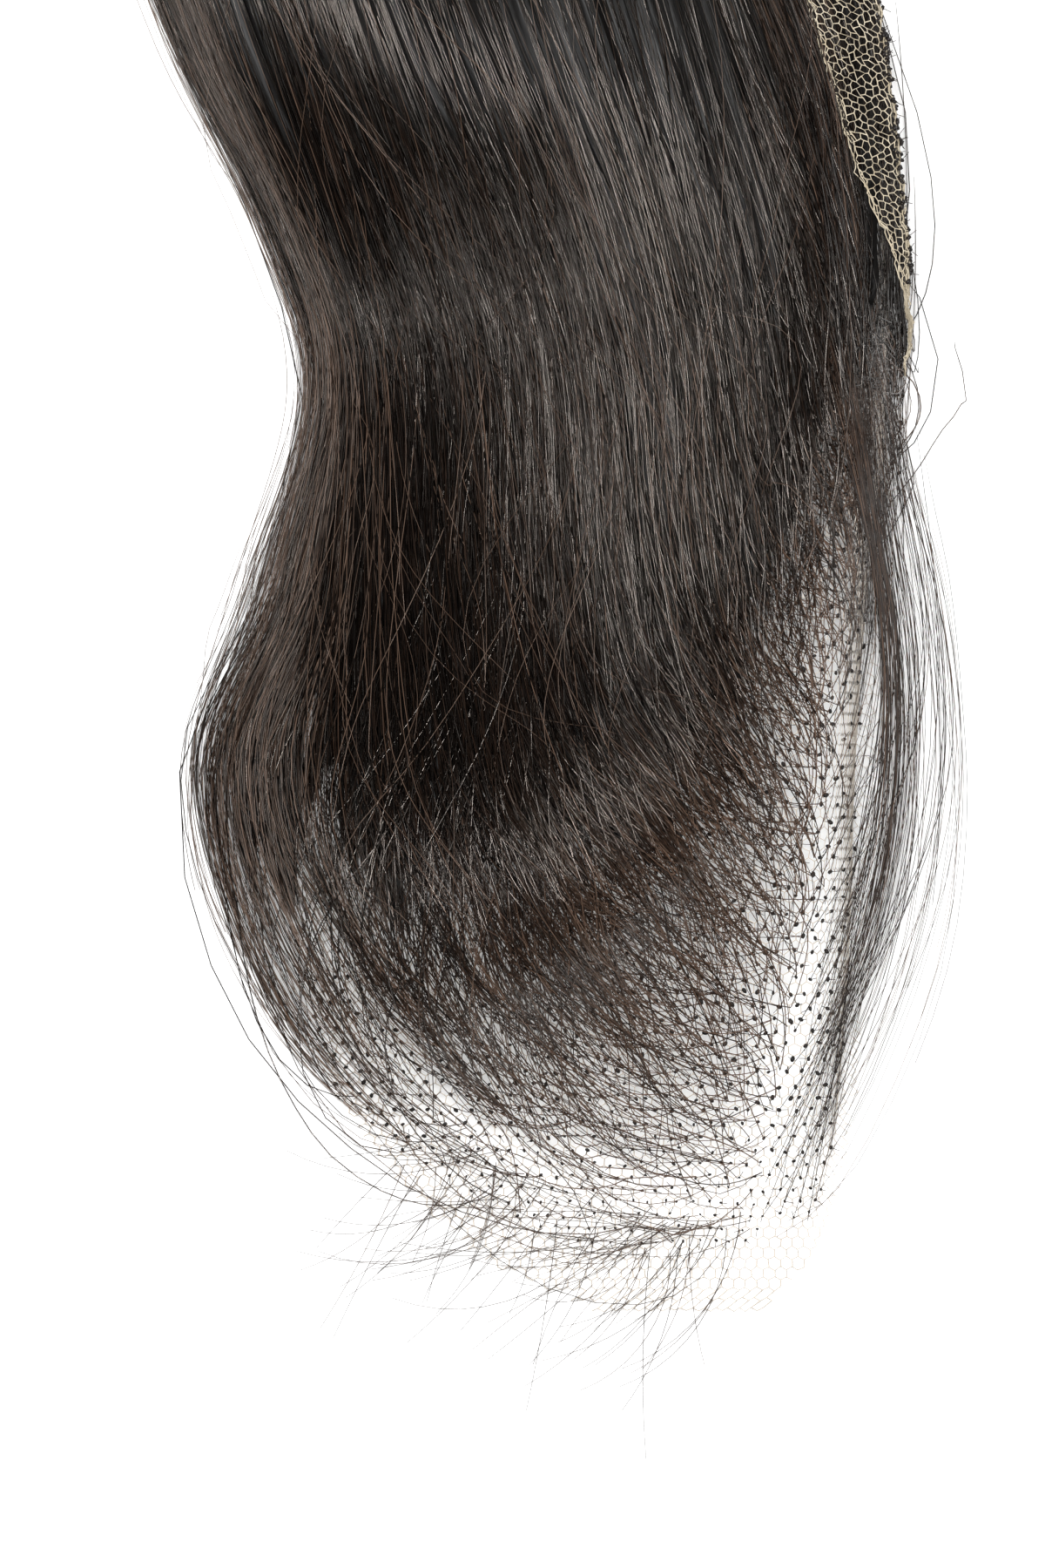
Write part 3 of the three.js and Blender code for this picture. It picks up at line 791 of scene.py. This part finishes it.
# the covered ones soon lie below the others, so they stop short
covered = chosen > len(rootComb) * knots["openShare"]
sheenLines = strandLines(rootComb[glossy, 0], rootComb[glossy, 1], tipsAt[glossy], sheen)
openRoots = rootComb[~glossy & ~covered]
hairlineLines = strandLines(openRoots[:, 0], openRoots[:, 1], tipsAt[~glossy & ~covered], hairline)
underRoots = rootComb[covered]
underEnds = underRoots[:, 1] + anyFor(knots["coveredRun"], underRoots)
underLines = strandLines(underRoots[:, 0], underRoots[:, 1], underEnds, under)

# Hidden roots fill the fall below the hairline; the guides are not evenly apart, so neither are the roots
hidden = dict(
    count=1000, shares=[0, 0.27, 0.6, 0.75, 1.0], before=(-0.7, 1.2), ends=(6.7, 7.8), humpCount=300,
    humpU=(0.0, 0.36), humpStarts=(-0.4, 1.6), humpEnds=(3.2, 5.4), borderCount=230, borderU=(0.93, 1.035),
    borderStarts=(-0.6, 5.4), borderEnds=(6.6, 7.4), borderDrift=0.014
)


def fromBorder(u, t):
    return -hidden["borderDrift"] * np.maximum(t - t[:, :1], 0)


humpFill = dict(fill, steps=24, lie=-4.0, spread=3.5, deepest=-12.0, splay=0.2, cross=0.1, start=0.1,
                dive=3.0, tint=0.58)
# the fill at the right edge of the fall is lighter: partly the hair's own brown, partly painted sheen where
# the steep right side catches little gloss
borderFillBrownAndPaintedSheen = dict(fill, drift=fromBorder, lie=0.1, tint=0.58)
fillU = np.interp(rng.random(hidden["count"]), hidden["shares"], guideU)
fillStarts = denseFrom(fillU) + anyFor(hidden["before"], fillU)
fillLines = strandLines(fillU, fillStarts, anyFor(hidden["ends"], fillU), fill)
humpU = rng.uniform(*hidden["humpU"], hidden["humpCount"])
humpLines = linesBetween(humpU, hidden["humpStarts"], hidden["humpEnds"], humpFill)
borderU = rng.uniform(*hidden["borderU"], hidden["borderCount"])
borderLines = linesBetween(borderU, hidden["borderStarts"], hidden["borderEnds"], borderFillBrownAndPaintedSheen)

# Hair that stands between the fall and the net, close behind its folded edge
behind = dict(
    count=260, steps=13, starts=(35, 62), run=(18, 34), end=81, gap=0.1, spread=4.4, lean=(0, 1.4),
    fromStation=4, fallY=70, pastFall=(3.0, 2.5), floor=1.4, belowFold=0.9, risen=0.4,
    heights=(0.3, 1.0), thick=(0.75, 0.4, 0.5), tint=(0.15, 0.5)
)


def behindBorder():
    count = behind["count"]
    s = np.linspace(0, 1, behind["steps"])[None, :]
    start = anyOf(behind["starts"], count)
    y = start + (np.minimum(start + anyOf(behind["run"], count), behind["end"]) - start) * s
    x = laceEdge(y) - border["inset"] - behind["gap"] - behind["spread"] * rng.random((count, 1)) ** 2
    x = x - anyOf(behind["lean"], count) * s
    fallX, fallY = split(guides[behind["fromStation"]:, -1])
    fallEdge = np.interp(y, fallY, fallX)
    past = behind["pastFall"][0] - behind["pastFall"][1] * ramp(behind["fallY"], behind["end"], y)
    x = np.where(y > behind["fallY"], np.minimum(x, fallEdge + past), x)
    top = border["base"] + np.interp(y, border["stations"], border["upright"]) - behind["belowFold"]
    share = ramp(0, behind["risen"], s)
    z = behind["floor"] + (top - behind["floor"]) * share * anyOf(behind["heights"], count)
    thick = tapered(count, s, behind["thick"])
    tint = anyOf(behind["tint"], count) * np.ones_like(s)
    return np.dstack([x, y, z, thick, tint])


behindLines = behindBorder()
allLines = [*hairlineLines, *underLines, *fillLines, *humpLines, *borderLines, *behindLines]
allU = np.concatenate([openRoots[:, 0], underRoots[:, 0], fillU, humpU, borderU, np.ones(len(behindLines))])
fallNames = ("hairLeftSweep", "hairMiddleFall", "hairRightFall")
fallGroups = np.array_split(np.argsort(allU, kind="stable"), len(fallNames))
mainPieces = [threadPiece(name, [allLines[i] for i in group], strand["radius"], hairShade)
              for name, group in zip(fallNames, fallGroups)]
topRadius = strand["radius"] * strand["topShare"]
mainPieces.append(threadPiece("hairTopStrands", list(sheenLines), topRadius, hairSheen))

# The tail, from the back of the lace to the tips
tail = dict(count=820, overlap=0.02, starts=(5.4, 6.8), ends=(8.4, 10.0), notch=0.5, notches=18)
tailLook = dict(fill, spread=0.5, dive=0.2, start=-1.5, sway=0.008, tint=0.24)
tailU = np.clip(rng.random(tail["count"]) * (1 + 2 * tail["overlap"]) - tail["overlap"],
                -tail["overlap"], 1 + tail["overlap"])
tailEnds = anyFor(tail["ends"], tailU) - tail["notch"] * np.abs(np.sin(tail["notches"] * tailU))
tailLines = strandLines(tailU, anyFor(tail["starts"], tailU), tailEnds, tailLook)
hairTail = threadPiece("hairTail", list(tailLines), strand["radius"] * strand["tailShare"], hairSheen)

# Packed hair below the strands: one closed body with fine ridges, feathered in front and ragged at the tips
core = dict(
    columns=250, rows=74, sink=0.45, endSink=0.8, frontSunk=(0.4, 2.2), tipsSunk=(7.6, 9.0), ridge=0.4,
    fineRidge=0.22, ridgeFrom=(0.2, 1.5), frontJitter=0.6, leftJitter=0.5, leftU=(0.35, 0.1), shear=0.34,
    ends=(9.1, 9.9), raggedWidth=5, raggedShare=0.6, edge=0.07, frontRun=0.9, flankRun=2.4,
    flankU=(0.26, 0.06), leftInset=0.02, leftKept=0.85, leftT=(4.6, 6.0), neckInset=0.046,
    neckT=(1.8, 3.2, 4.8, 6.0), rightInset=0.08, rightT=(0.5, 3.2), underBorder=0.012,
    borderT=(3.6, 5, 6.4, 7.5), least=0.12, innerU=(0.02, 0.98), innerT=(0.1, 9.7)
)


def coreEdges(t):
    left = core["leftInset"] * (1 - core["leftKept"] * ramp(*core["leftT"], t))
    left = left + core["neckInset"] * between(core["neckT"], t)
    right = 1 - core["rightInset"] * (1 - ramp(*core["rightT"], t))
    return left, right + core["underBorder"] * between(core["borderT"], t)


def coreFaces(rows, columns):
    # upper skin, lower skin and the rim that joins them
    index = np.arange((rows + 1) * (columns + 1)).reshape(rows + 1, columns + 1)
    a, b = index[:-1, :-1].ravel(), index[:-1, 1:].ravel()
    c, d = index[1:, 1:].ravel(), index[1:, :-1].ravel()
    down = index.size
    faces = np.concatenate([np.column_stack([a, b, c, d]), np.column_stack([a, d, c, b]) + down])
    rim = np.concatenate([index[0, :], index[1:, -1], index[-1, -2::-1], index[-2::-1, 0]])
    return np.concatenate([faces, np.column_stack([rim[1:], rim[:-1], rim[:-1] + down, rim[1:] + down])])


def hairCore():
    columns, rows = core["columns"], core["rows"]
    u = np.linspace(0, 1, columns + 1)
    width = core["raggedWidth"]
    ragged = np.convolve(rng.random(columns + width), np.full(width, 1 / width), mode="valid")
    ragged = (ragged - ragged.min()) / np.ptp(ragged)
    fine = rng.random(columns + 1)
    uneven = core["frontJitter"] * (1 + core["leftJitter"] * ramp(*core["leftU"], u))
    starts = denseFrom(u) + uneven * (fine - 0.5) * 2
    share = core["raggedShare"] * ragged[::-1] + (1 - core["raggedShare"]) * fine[::-1]
    ends = core["ends"][0] + (core["ends"][1] - core["ends"][0]) * share
    v = np.linspace(0, 1, rows + 1)[:, None]
    t = starts.mean() + (ends[None, :] - starts.mean()) * v
    t = t + (starts - starts.mean())[None, :] * (1 - ramp(0, core["shear"], v))  # only the front is uneven
    after = t - starts[None, :]
    drawn = drawTogether(np.repeat(u[None, :], rows + 1, axis=0), t, wispy=False)
    drawn = np.where((u == 0) | (u == 1), u, drawn)
    left, right = coreEdges(t)
    drawn = left + drawn * (right - left)
    flat = combed(drawn, t)
    inner = combed(np.clip(drawn, *core["innerU"]), np.clip(t, *core["innerT"]))
    sink = core["sink"] + core["endSink"] * (1 - ramp(*core["frontSunk"], after) + ramp(*core["tipsSunk"], t))
    top = sample(bedTop, *split(inner)) + swell(drawn, t) - sink
    low = sample(hairUnder, *split(inner))
    lock = lockOf(u)
    ribs = core["ridge"] * np.sin(np.pi * (u * locks["count"] - lock)) + locks["lift"] * lockLift[lock]
    ribs = ribs + core["fineRidge"] * (fine - 0.5)
    fromEdge = np.clip(np.minimum(u, 1 - u) / core["edge"], 0, 1)
    rounded = np.sqrt(np.clip(1 - (1 - fromEdge) ** 2, 0, 1))[None, :]
    run = core["frontRun"] + core["flankRun"] * ramp(*core["flankU"], u)[None, :]
    lead = np.sqrt(ramp(0, run, after))
    depth = (top - low) * rounded * lead + ribs[None, :] * ramp(*core["ridgeFrom"], after) * rounded
    upper = np.dstack([flat, low + np.maximum(depth, core["least"])])
    lower = np.dstack([flat, low])
    faces = coreFaces(rows, columns)
    points = np.concatenate([upper.reshape(-1, 3), lower.reshape(-1, 3)])
    piece = newPiece("hairCore", points, faces=faces.tolist())
    flow = piece.data.uv_layers.new(name="flow")
    corners = np.zeros(len(piece.data.loops), int)
    piece.data.loops.foreach_get("vertex_index", corners)
    place = np.column_stack([np.repeat(u[None, :], rows + 1, axis=0).ravel(), t.ravel()])
    flow.data.foreach_set("uv", place[corners % t.size].ravel())
    piece.data.polygons.foreach_set("use_smooth", np.ones(len(faces), bool))
    piece.data.materials.append(packedHair)
    print("hairCore", 2 * len(faces), "triangles")
    return piece


packedFall = hairCore()

# Hair right of the parting: three guides from the hairline round the right flank and up to the fall (mm)
flank = dict(
    outer=[(22.8, -40.0, 3.0), (29.0, -33.6, 4.5), (34.6, -22.4, 5.5), (38.2, -11.2, 6.0), (39.6, 0.0, 7.0),
           (39.2, 9.6, 9.5), (37.8, 19.2, 13.5), (35.8, 27.6, 17.5), (34.0, 36.0, 20.0),
           (32.4, 44.0, 22.5)],
    middle=[(24.4, -31.2, 8.0), (28.8, -22.4, 9.5), (32.4, -12.8, 10.5), (34.2, -3.2, 12.0),
            (34.7, 6.4, 14.5), (34.1, 15.2, 18.0), (32.6, 23.2, 22.5), (31.3, 30.8, 27.5),
            (30.0, 38.0, 28.5), (28.6, 45.0, 26.5)],
    inner=[(27.6, -8.0, 22.0), (30.0, -2.4, 24.0), (31.8, 3.2, 24.5), (32.6, 8.8, 24.5), (32.5, 15.2, 25.0),
           (31.6, 21.6, 26.5), (30.4, 27.2, 29.0), (28.8, 33.0, 30.5), (26.8, 39.0, 30.5),
           (24.8, 45.0, 30.5)],
    partPoints=60, searched=(0, 8, 81), steps=18, radius=0.046, thick=(0.7, 0.35, 0.5), tint=0.62,
    tintSpread=0.17, turns=(0.4, 1.2), rootRun=(0.7, 1.8), rootFade=1.4, dive=2.0, diveFrom=0.88,
    clear=0.15, fromParting=(0.4, 7.0), mostX=35.4, y=(-41, 44), aboveFloor=1.2, rootShare=0.62,
    rootLift=0.1, rootAhead=1.5, rootEnds=(7.6, 9.0), rootLeast=2, rootW=(0.0, 1.05), rootWild=0.06,
    lockCount=16, lockShare=0.22, lockW=0.5, lockSpread=0.03, lockStarts=(0.0, 2.2), lockEnds=(7.6, 8.8),
    lockWild=0.03, looseCount=50, looseW=(-0.25, 0.9), looseStarts=(0.2, 3.0), looseEnds=(6.5, 8.8),
    looseWild=0.12, looseThinPale=(0.72, 1.2)
)
flankGuides = np.array([flank[name] for name in ("outer", "middle", "inner")]).transpose(1, 0, 2)


def flankPoint(w, t):
    return betweenGuides(flankGuides, t, w)


def flankTint(count):
    return np.clip(rng.normal(flank["tint"], flank["tintSpread"], (count, 1)), 0, 1)


def flankLines(w0, t0, t1, wild, roots=None):
    count = len(w0)
    s = np.linspace(0, 1, flank["steps"])[None, :]
    t = t0[:, None] + (t1 - t0)[:, None] * s
    sway = rng.normal(0, wild, (count, 1))
    turns = anyOf(flank["turns"], count)
    lines = flankPoint(w0[:, None] + sway * np.sin(turns * t + anyOf(anyPhase, count)), t)
    if roots is not None:
        away = roots - lines[:, 0]
        fade = np.exp(-((t - t0[:, None]) / anyOf(flank["rootRun"], count)) ** flank["rootFade"])
        lines = lines + away[:, None, :] * fade[..., None]
    ground = sample(laceTop, *split(lines))
    dive = flank["dive"] * ramp(flank["diveFrom"], 1.0, s)
    lines[..., 2] = np.maximum(lines[..., 2] - dive, ground + flank["clear"])
    thick = tapered(count, s, flank["thick"])
    return np.dstack([lines, thick, flankTint(count) * np.ones_like(s)])


partU = np.linspace(0, 1, flank["partPoints"])
partLine = combed(partU, np.full(len(partU), float(comb["firstStation"])))
toPart = np.interp(knotSpots[:, 1], partLine[:, 1], partLine[:, 0])
onFlank = ((knotSpots[:, 0] > toPart + flank["fromParting"][0])
           & (knotSpots[:, 0] < np.minimum(toPart + flank["fromParting"][1], flank["mostX"]))
           & (knotSpots[:, 1] > flank["y"][0]) & (knotSpots[:, 1] < flank["y"][1])
           & (knotHeights > flank["aboveFloor"]))
flankSpots = knotSpots[onFlank]
combedOut = flankSpots[rng.random(len(flankSpots)) < flank["rootShare"]]
flankRoots = np.column_stack([combedOut, sample(laceTop, *combedOut.T) + flank["rootLift"]])
inLock = rng.random(len(flankRoots)) < flank["lockShare"]
closeW = rng.normal(flank["lockW"], flank["lockSpread"], len(inLock))
flankW = np.where(inLock, closeW, anyFor(flank["rootW"], inLock))
guideT = np.linspace(*flank["searched"])
guideY = [flankPoint(np.full(len(guideT), w), guideT)[:, 1] for w in flankW]
flankT = np.array([np.interp(root[1] + flank["rootAhead"], y, guideT) for root, y in zip(flankRoots, guideY)])
flankEnds = np.maximum(anyFor(flank["rootEnds"], flankT), flankT + flank["rootLeast"])
rootLines = flankLines(flankW, flankT, flankEnds, flank["rootWild"], flankRoots)
lockW = rng.normal(flank["lockW"], flank["lockSpread"], flank["lockCount"])
lockStarts = anyFor(flank["lockStarts"], lockW)
lockLines = flankLines(lockW, lockStarts, anyFor(flank["lockEnds"], lockW), flank["lockWild"])
looseW = rng.uniform(*flank["looseW"], flank["looseCount"])
looseStarts = anyFor(flank["looseStarts"], looseW)
looseEnds = anyFor(flank["looseEnds"], looseW)
looseLines = flankLines(looseW, looseStarts, looseEnds, flank["looseWild"])
looseLines[..., 3:] *= flank["looseThinPale"]

# Short of the border the hair stands up the right margin and leans inward over the fall
margin = dict(
    count=170, steps=14, y=(12, 44), x=(30.4, 35.6), heading=(math.radians(96), 0.12), turn=(0.012, 0.004),
    run=(18, 36), smoothing=4, lift=0.15, arch=(0.1, 1.1), archRun=1.2, diveFrom=0.85
)


def walked(place, heading, turn, step, steps):
    # points one step after another, each turned a little from the one before
    points = []
    for _ in range(steps):
        points.append(place)
        place = place + np.column_stack([np.cos(heading), np.sin(heading)]) * step[:, None]
        heading = heading + turn * step
    return np.stack(points, axis=1)


def marginLines():
    count, steps = margin["count"], margin["steps"]
    y = rng.uniform(*margin["y"], count)
    place = np.column_stack([rng.uniform(*margin["x"], count), y])
    heading = rng.normal(*margin["heading"], count)
    turn = rng.normal(*margin["turn"], count)
    flat = walked(place, heading, turn, rng.uniform(*margin["run"], count) / steps, steps)
    s = np.linspace(0, 1, steps)[None, :]
    arch = anyOf(margin["arch"], count) * np.sin(np.pi * np.clip(s * margin["archRun"], 0, 1))
    ground = smoothLine(sample(bedTop, *split(flat)), margin["smoothing"])
    z = np.maximum(ground + margin["lift"] + arch - ramp(margin["diveFrom"], 1, s), margin["lift"])
    thick = tapered(count, s, flank["thick"])
    return np.dstack([flat, z, thick, flankTint(count) * np.ones_like(s)])


sideLines = [*rootLines, *lockLines, *looseLines, *marginLines()]
hairSideLock = threadPiece("hairSideLock", sideLines, flank["radius"], hairShade)

# Loose hairs: along the left edge, over the fall, and a thin fringe past the front of the lace
strays = dict(
    edgeCount=260, edgeU=(-0.012, 0.12), edgeStarts=(0.0, 3.8), edgeEnds=(5.5, 7.4), edgeInset=0.045,
    edgeT=(2.2, 3.2, 4.6, 5.8), fuzzCount=240, fuzzU=(0.1, 0.042), fuzzStarts=(-0.3, 5.2),
    fuzzRun=(1.5, 4.0), fuzzEnd=7.6, fuzzThin=0.7, overCount=120, overU=(0.03, 0.8), overStarts=(0.0, 3.0),
    overRun=(2.5, 5.5), overWander=0.03, overThin=0.6
)


def edgeInset(u, t):
    return strays["edgeInset"] * between(strays["edgeT"], t)


def noDrift(u, t):
    return np.zeros_like(t)


def wandering(u, t):
    return (t - t[:, :1]) * rng.normal(0, strays["overWander"], (len(u), 1))


edgeLook = dict(hairline, steps=26, splay=0.06, cross=0.07, frontWild=0.0, spread=0.6, arch=0.0, sway=0.014,
                bunch=0.0, tint=0.62, tintSpread=0.2, drift=edgeInset)
fuzzLook = dict(edgeLook, lie=-1.5, spread=2.0, cross=0.1, sway=0.022, tint=0.82, drift=noDrift)
overLook = dict(hairline, steps=32, splay=0.3, loose=(12.0, 30.0), lie=1.5, spread=0.5, arch=2.0, tint=0.9,
                tintSpread=0.1, sway=0.07, drift=wandering)
edgeU = rng.uniform(*strays["edgeU"], strays["edgeCount"])
edgeLines = linesBetween(edgeU, strays["edgeStarts"], strays["edgeEnds"], edgeLook)
fuzzU = strays["fuzzU"][0] * np.sqrt(rng.random(strays["fuzzCount"])) - strays["fuzzU"][1]
fuzzStarts = anyFor(strays["fuzzStarts"], fuzzU)
fuzzEnds = np.minimum(fuzzStarts + anyFor(strays["fuzzRun"], fuzzU), strays["fuzzEnd"])
fuzzLines = strandLines(fuzzU, fuzzStarts, fuzzEnds, fuzzLook)
fuzzLines[..., 3] *= strays["fuzzThin"]
overU = rng.uniform(*strays["overU"], strays["overCount"])
overStarts = anyFor(strays["overStarts"], overU)
overEnds = overStarts + anyFor(strays["overRun"], overU)
overLines = strandLines(overU, overStarts, overEnds, overLook)
overLines[..., 3] *= strays["overThin"]

fringe = dict(
    count=105, steps=11, u=(0.02, 0.03), leastU=-0.02, mostU=0.12, t=(-2, 1.8), heading=(0.95, 1.5),
    turn=(-0.04, 0.03), run=(9, 24), clear=0.2, arch=1.6, taper=0.5, tint=(0.6, 0.82)
)


def fringeLines():
    count, steps = fringe["count"], fringe["steps"]
    at = rng.random(count)
    u = np.clip(rng.normal(*fringe["u"], count), fringe["leastU"], fringe["mostU"])
    root = combed(u, fringe["t"][0] + fringe["t"][1] * at)
    heading = math.pi * rng.uniform(*fringe["heading"], count)  # outward at first, then round with the comb
    turn = rng.normal(*fringe["turn"], count)
    flat = walked(root, heading, turn, rng.uniform(*fringe["run"], count) / steps, steps)
    s = np.linspace(0, 1, steps)[None, :]
    arch = fringe["arch"] * np.sin(np.pi * np.arange(steps) / steps)[None, :] * at[:, None]
    z = np.maximum(sample(laceTop, *split(flat)), fringe["clear"]) + fringe["clear"] + arch
    thick = (1 - fringe["taper"] * s) * np.ones((count, 1))
    return np.dstack([flat, z, thick, anyOf(fringe["tint"], count) * np.ones_like(s)])


def rimKnots():
    # the border's own knots, on the outer face of the fold
    y = rng.uniform(border["stations"][2], border["stations"][-1], border["knots"])
    up = anyFor(border["knotsUp"], y)
    spots = np.array([borderPlace(at, borderSize("upright", at) + rise)[:3] for at, rise in zip(y, up)])
    spots[:, 0] += rng.uniform(0, border["knotsOut"], len(y))
    return spots


# Knot beads, each with the short end of its hair
shown = mainSpots[mainComb[:, 1] < knots["shownTo"]]
laceKnots = np.concatenate([shown, flankSpots])
laceKnots = np.column_stack([laceKnots, sample(laceTop, *laceKnots.T) + knots["lift"]])
beadSpots = np.concatenate([laceKnots, rimKnots()])
knotPoints = newPiece("hairKnots", beadSpots)
grownSize = (1 - knots["frontSize"]) * ramp(*knots["frontY"], beadSpots[:, 1])
pointAttribute(knotPoints, "size", knots["frontSize"] + grownSize)
hairKnots = growTree(knotPoints, beads, {"Bead Radius": knots["radius"] * mm, "Smallest": knots["smallest"],
                                         "Seed": knots["seed"], "Finish": knotHair})
print("hairKnots", len(beadSpots), "beads")


def knotTails():
    count = len(beadSpots)
    heading = rng.uniform(0, 2 * math.pi, count)
    away = rng.uniform(*knots["tail"], count)
    rise = rng.uniform(*knots["tailRise"], count)
    ends = beadSpots + np.column_stack([np.cos(heading) * away, np.sin(heading) * away, rise])
    rows = np.stack([beadSpots, ends], axis=1)
    return np.dstack([rows, np.full((count, 2), knots["tailThick"]), np.full((count, 2), knots["tailTint"])])


strayLines = [*edgeLines, *fuzzLines, *overLines, *fringeLines(), *knotTails()]
hairStrays = threadPiece("hairStrays", strayLines, strand["radius"] * strand["looseShare"], hairLoose)

# Stage: pale floor, soft overhead light, camera straight above
stage = dict(
    floorHalf=2.0, floorDrop=0.0003, floorGlow=0.2, floorGrain=8.0, floorStops=(0.3, 0.7),
    floorShades=(0.88, 0.92), lightSize=(0.24, 0.34), lightHeight=0.95, lightBack=0.1, lightPower=14.5,
    worldLight=0.06, cameraHeight=1.52, focusHeight=0.02, pictureHeight=0.144, sensor=36.0
)
floorMesh = bpy.data.meshes.new("floor")
floorMesh.from_pydata([(x * stage["floorHalf"], y * stage["floorHalf"], -stage["floorDrop"])
                       for x, y in ((-1, -1), (1, -1), (1, 1), (-1, 1))], [], [(0, 1, 2, 3)])
floor = bpy.data.objects.new("floor", floorMesh)
bpy.context.collection.objects.link(floor)
white, nodes, links, shader = newFinish("white paper floor", roughness=0.9, specular=0.1)
paper = grain(nodes, links, nodes.new("ShaderNodeTexCoord").outputs["Object"], stage["floorGrain"])
paintRamp(nodes, links, shader, paper, stage["floorStops"], [(shade,) * 3 for shade in stage["floorShades"]])
shader.inputs["Emission Color"].default_value = (1, 1, 1, 1)
shader.inputs["Emission Strength"].default_value = stage["floorGlow"]
floorMesh.materials.append(white)

middle = toRow((0, 0, 0))
soft = bpy.data.objects.new("softbox", bpy.data.lights.new("softbox", "AREA"))
soft.data.shape = "RECTANGLE"
soft.data.size, soft.data.size_y = stage["lightSize"]
soft.data.energy = stage["lightPower"]
soft.location = (middle[0], middle[1] + stage["lightBack"], stage["lightHeight"])
soft.visible_camera = False
bpy.context.collection.objects.link(soft)

world = bpy.data.worlds.new("white room")
world.use_nodes = True
world.node_tree.nodes["Background"].inputs["Color"].default_value = (1, 1, 1, 1)
world.node_tree.nodes["Background"].inputs["Strength"].default_value = stage["worldLight"]
bpy.context.scene.world = world

camera = bpy.data.objects.new("camera", bpy.data.cameras.new("camera"))
camera.data.sensor_fit = "VERTICAL"
camera.data.sensor_height = stage["sensor"]
camera.data.lens = stage["sensor"] * (stage["cameraHeight"] - stage["focusHeight"]) / stage["pictureHeight"]
camera.location = (middle[0], middle[1], stage["cameraHeight"])
bpy.context.collection.objects.link(camera)
bpy.context.scene.camera = camera
bpy.context.scene.view_settings.view_transform = "Standard"

# Every piece rides on the one body
for piece in [laceGround, turnedBorder, *mainPieces, hairTail, packedFall, hairSideLock, hairStrays,
              hairKnots]:
    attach(piece, "root")
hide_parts("lace_base")
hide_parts("lace_border")
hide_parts("hair_main_fall")
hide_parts("hair_side_lock")
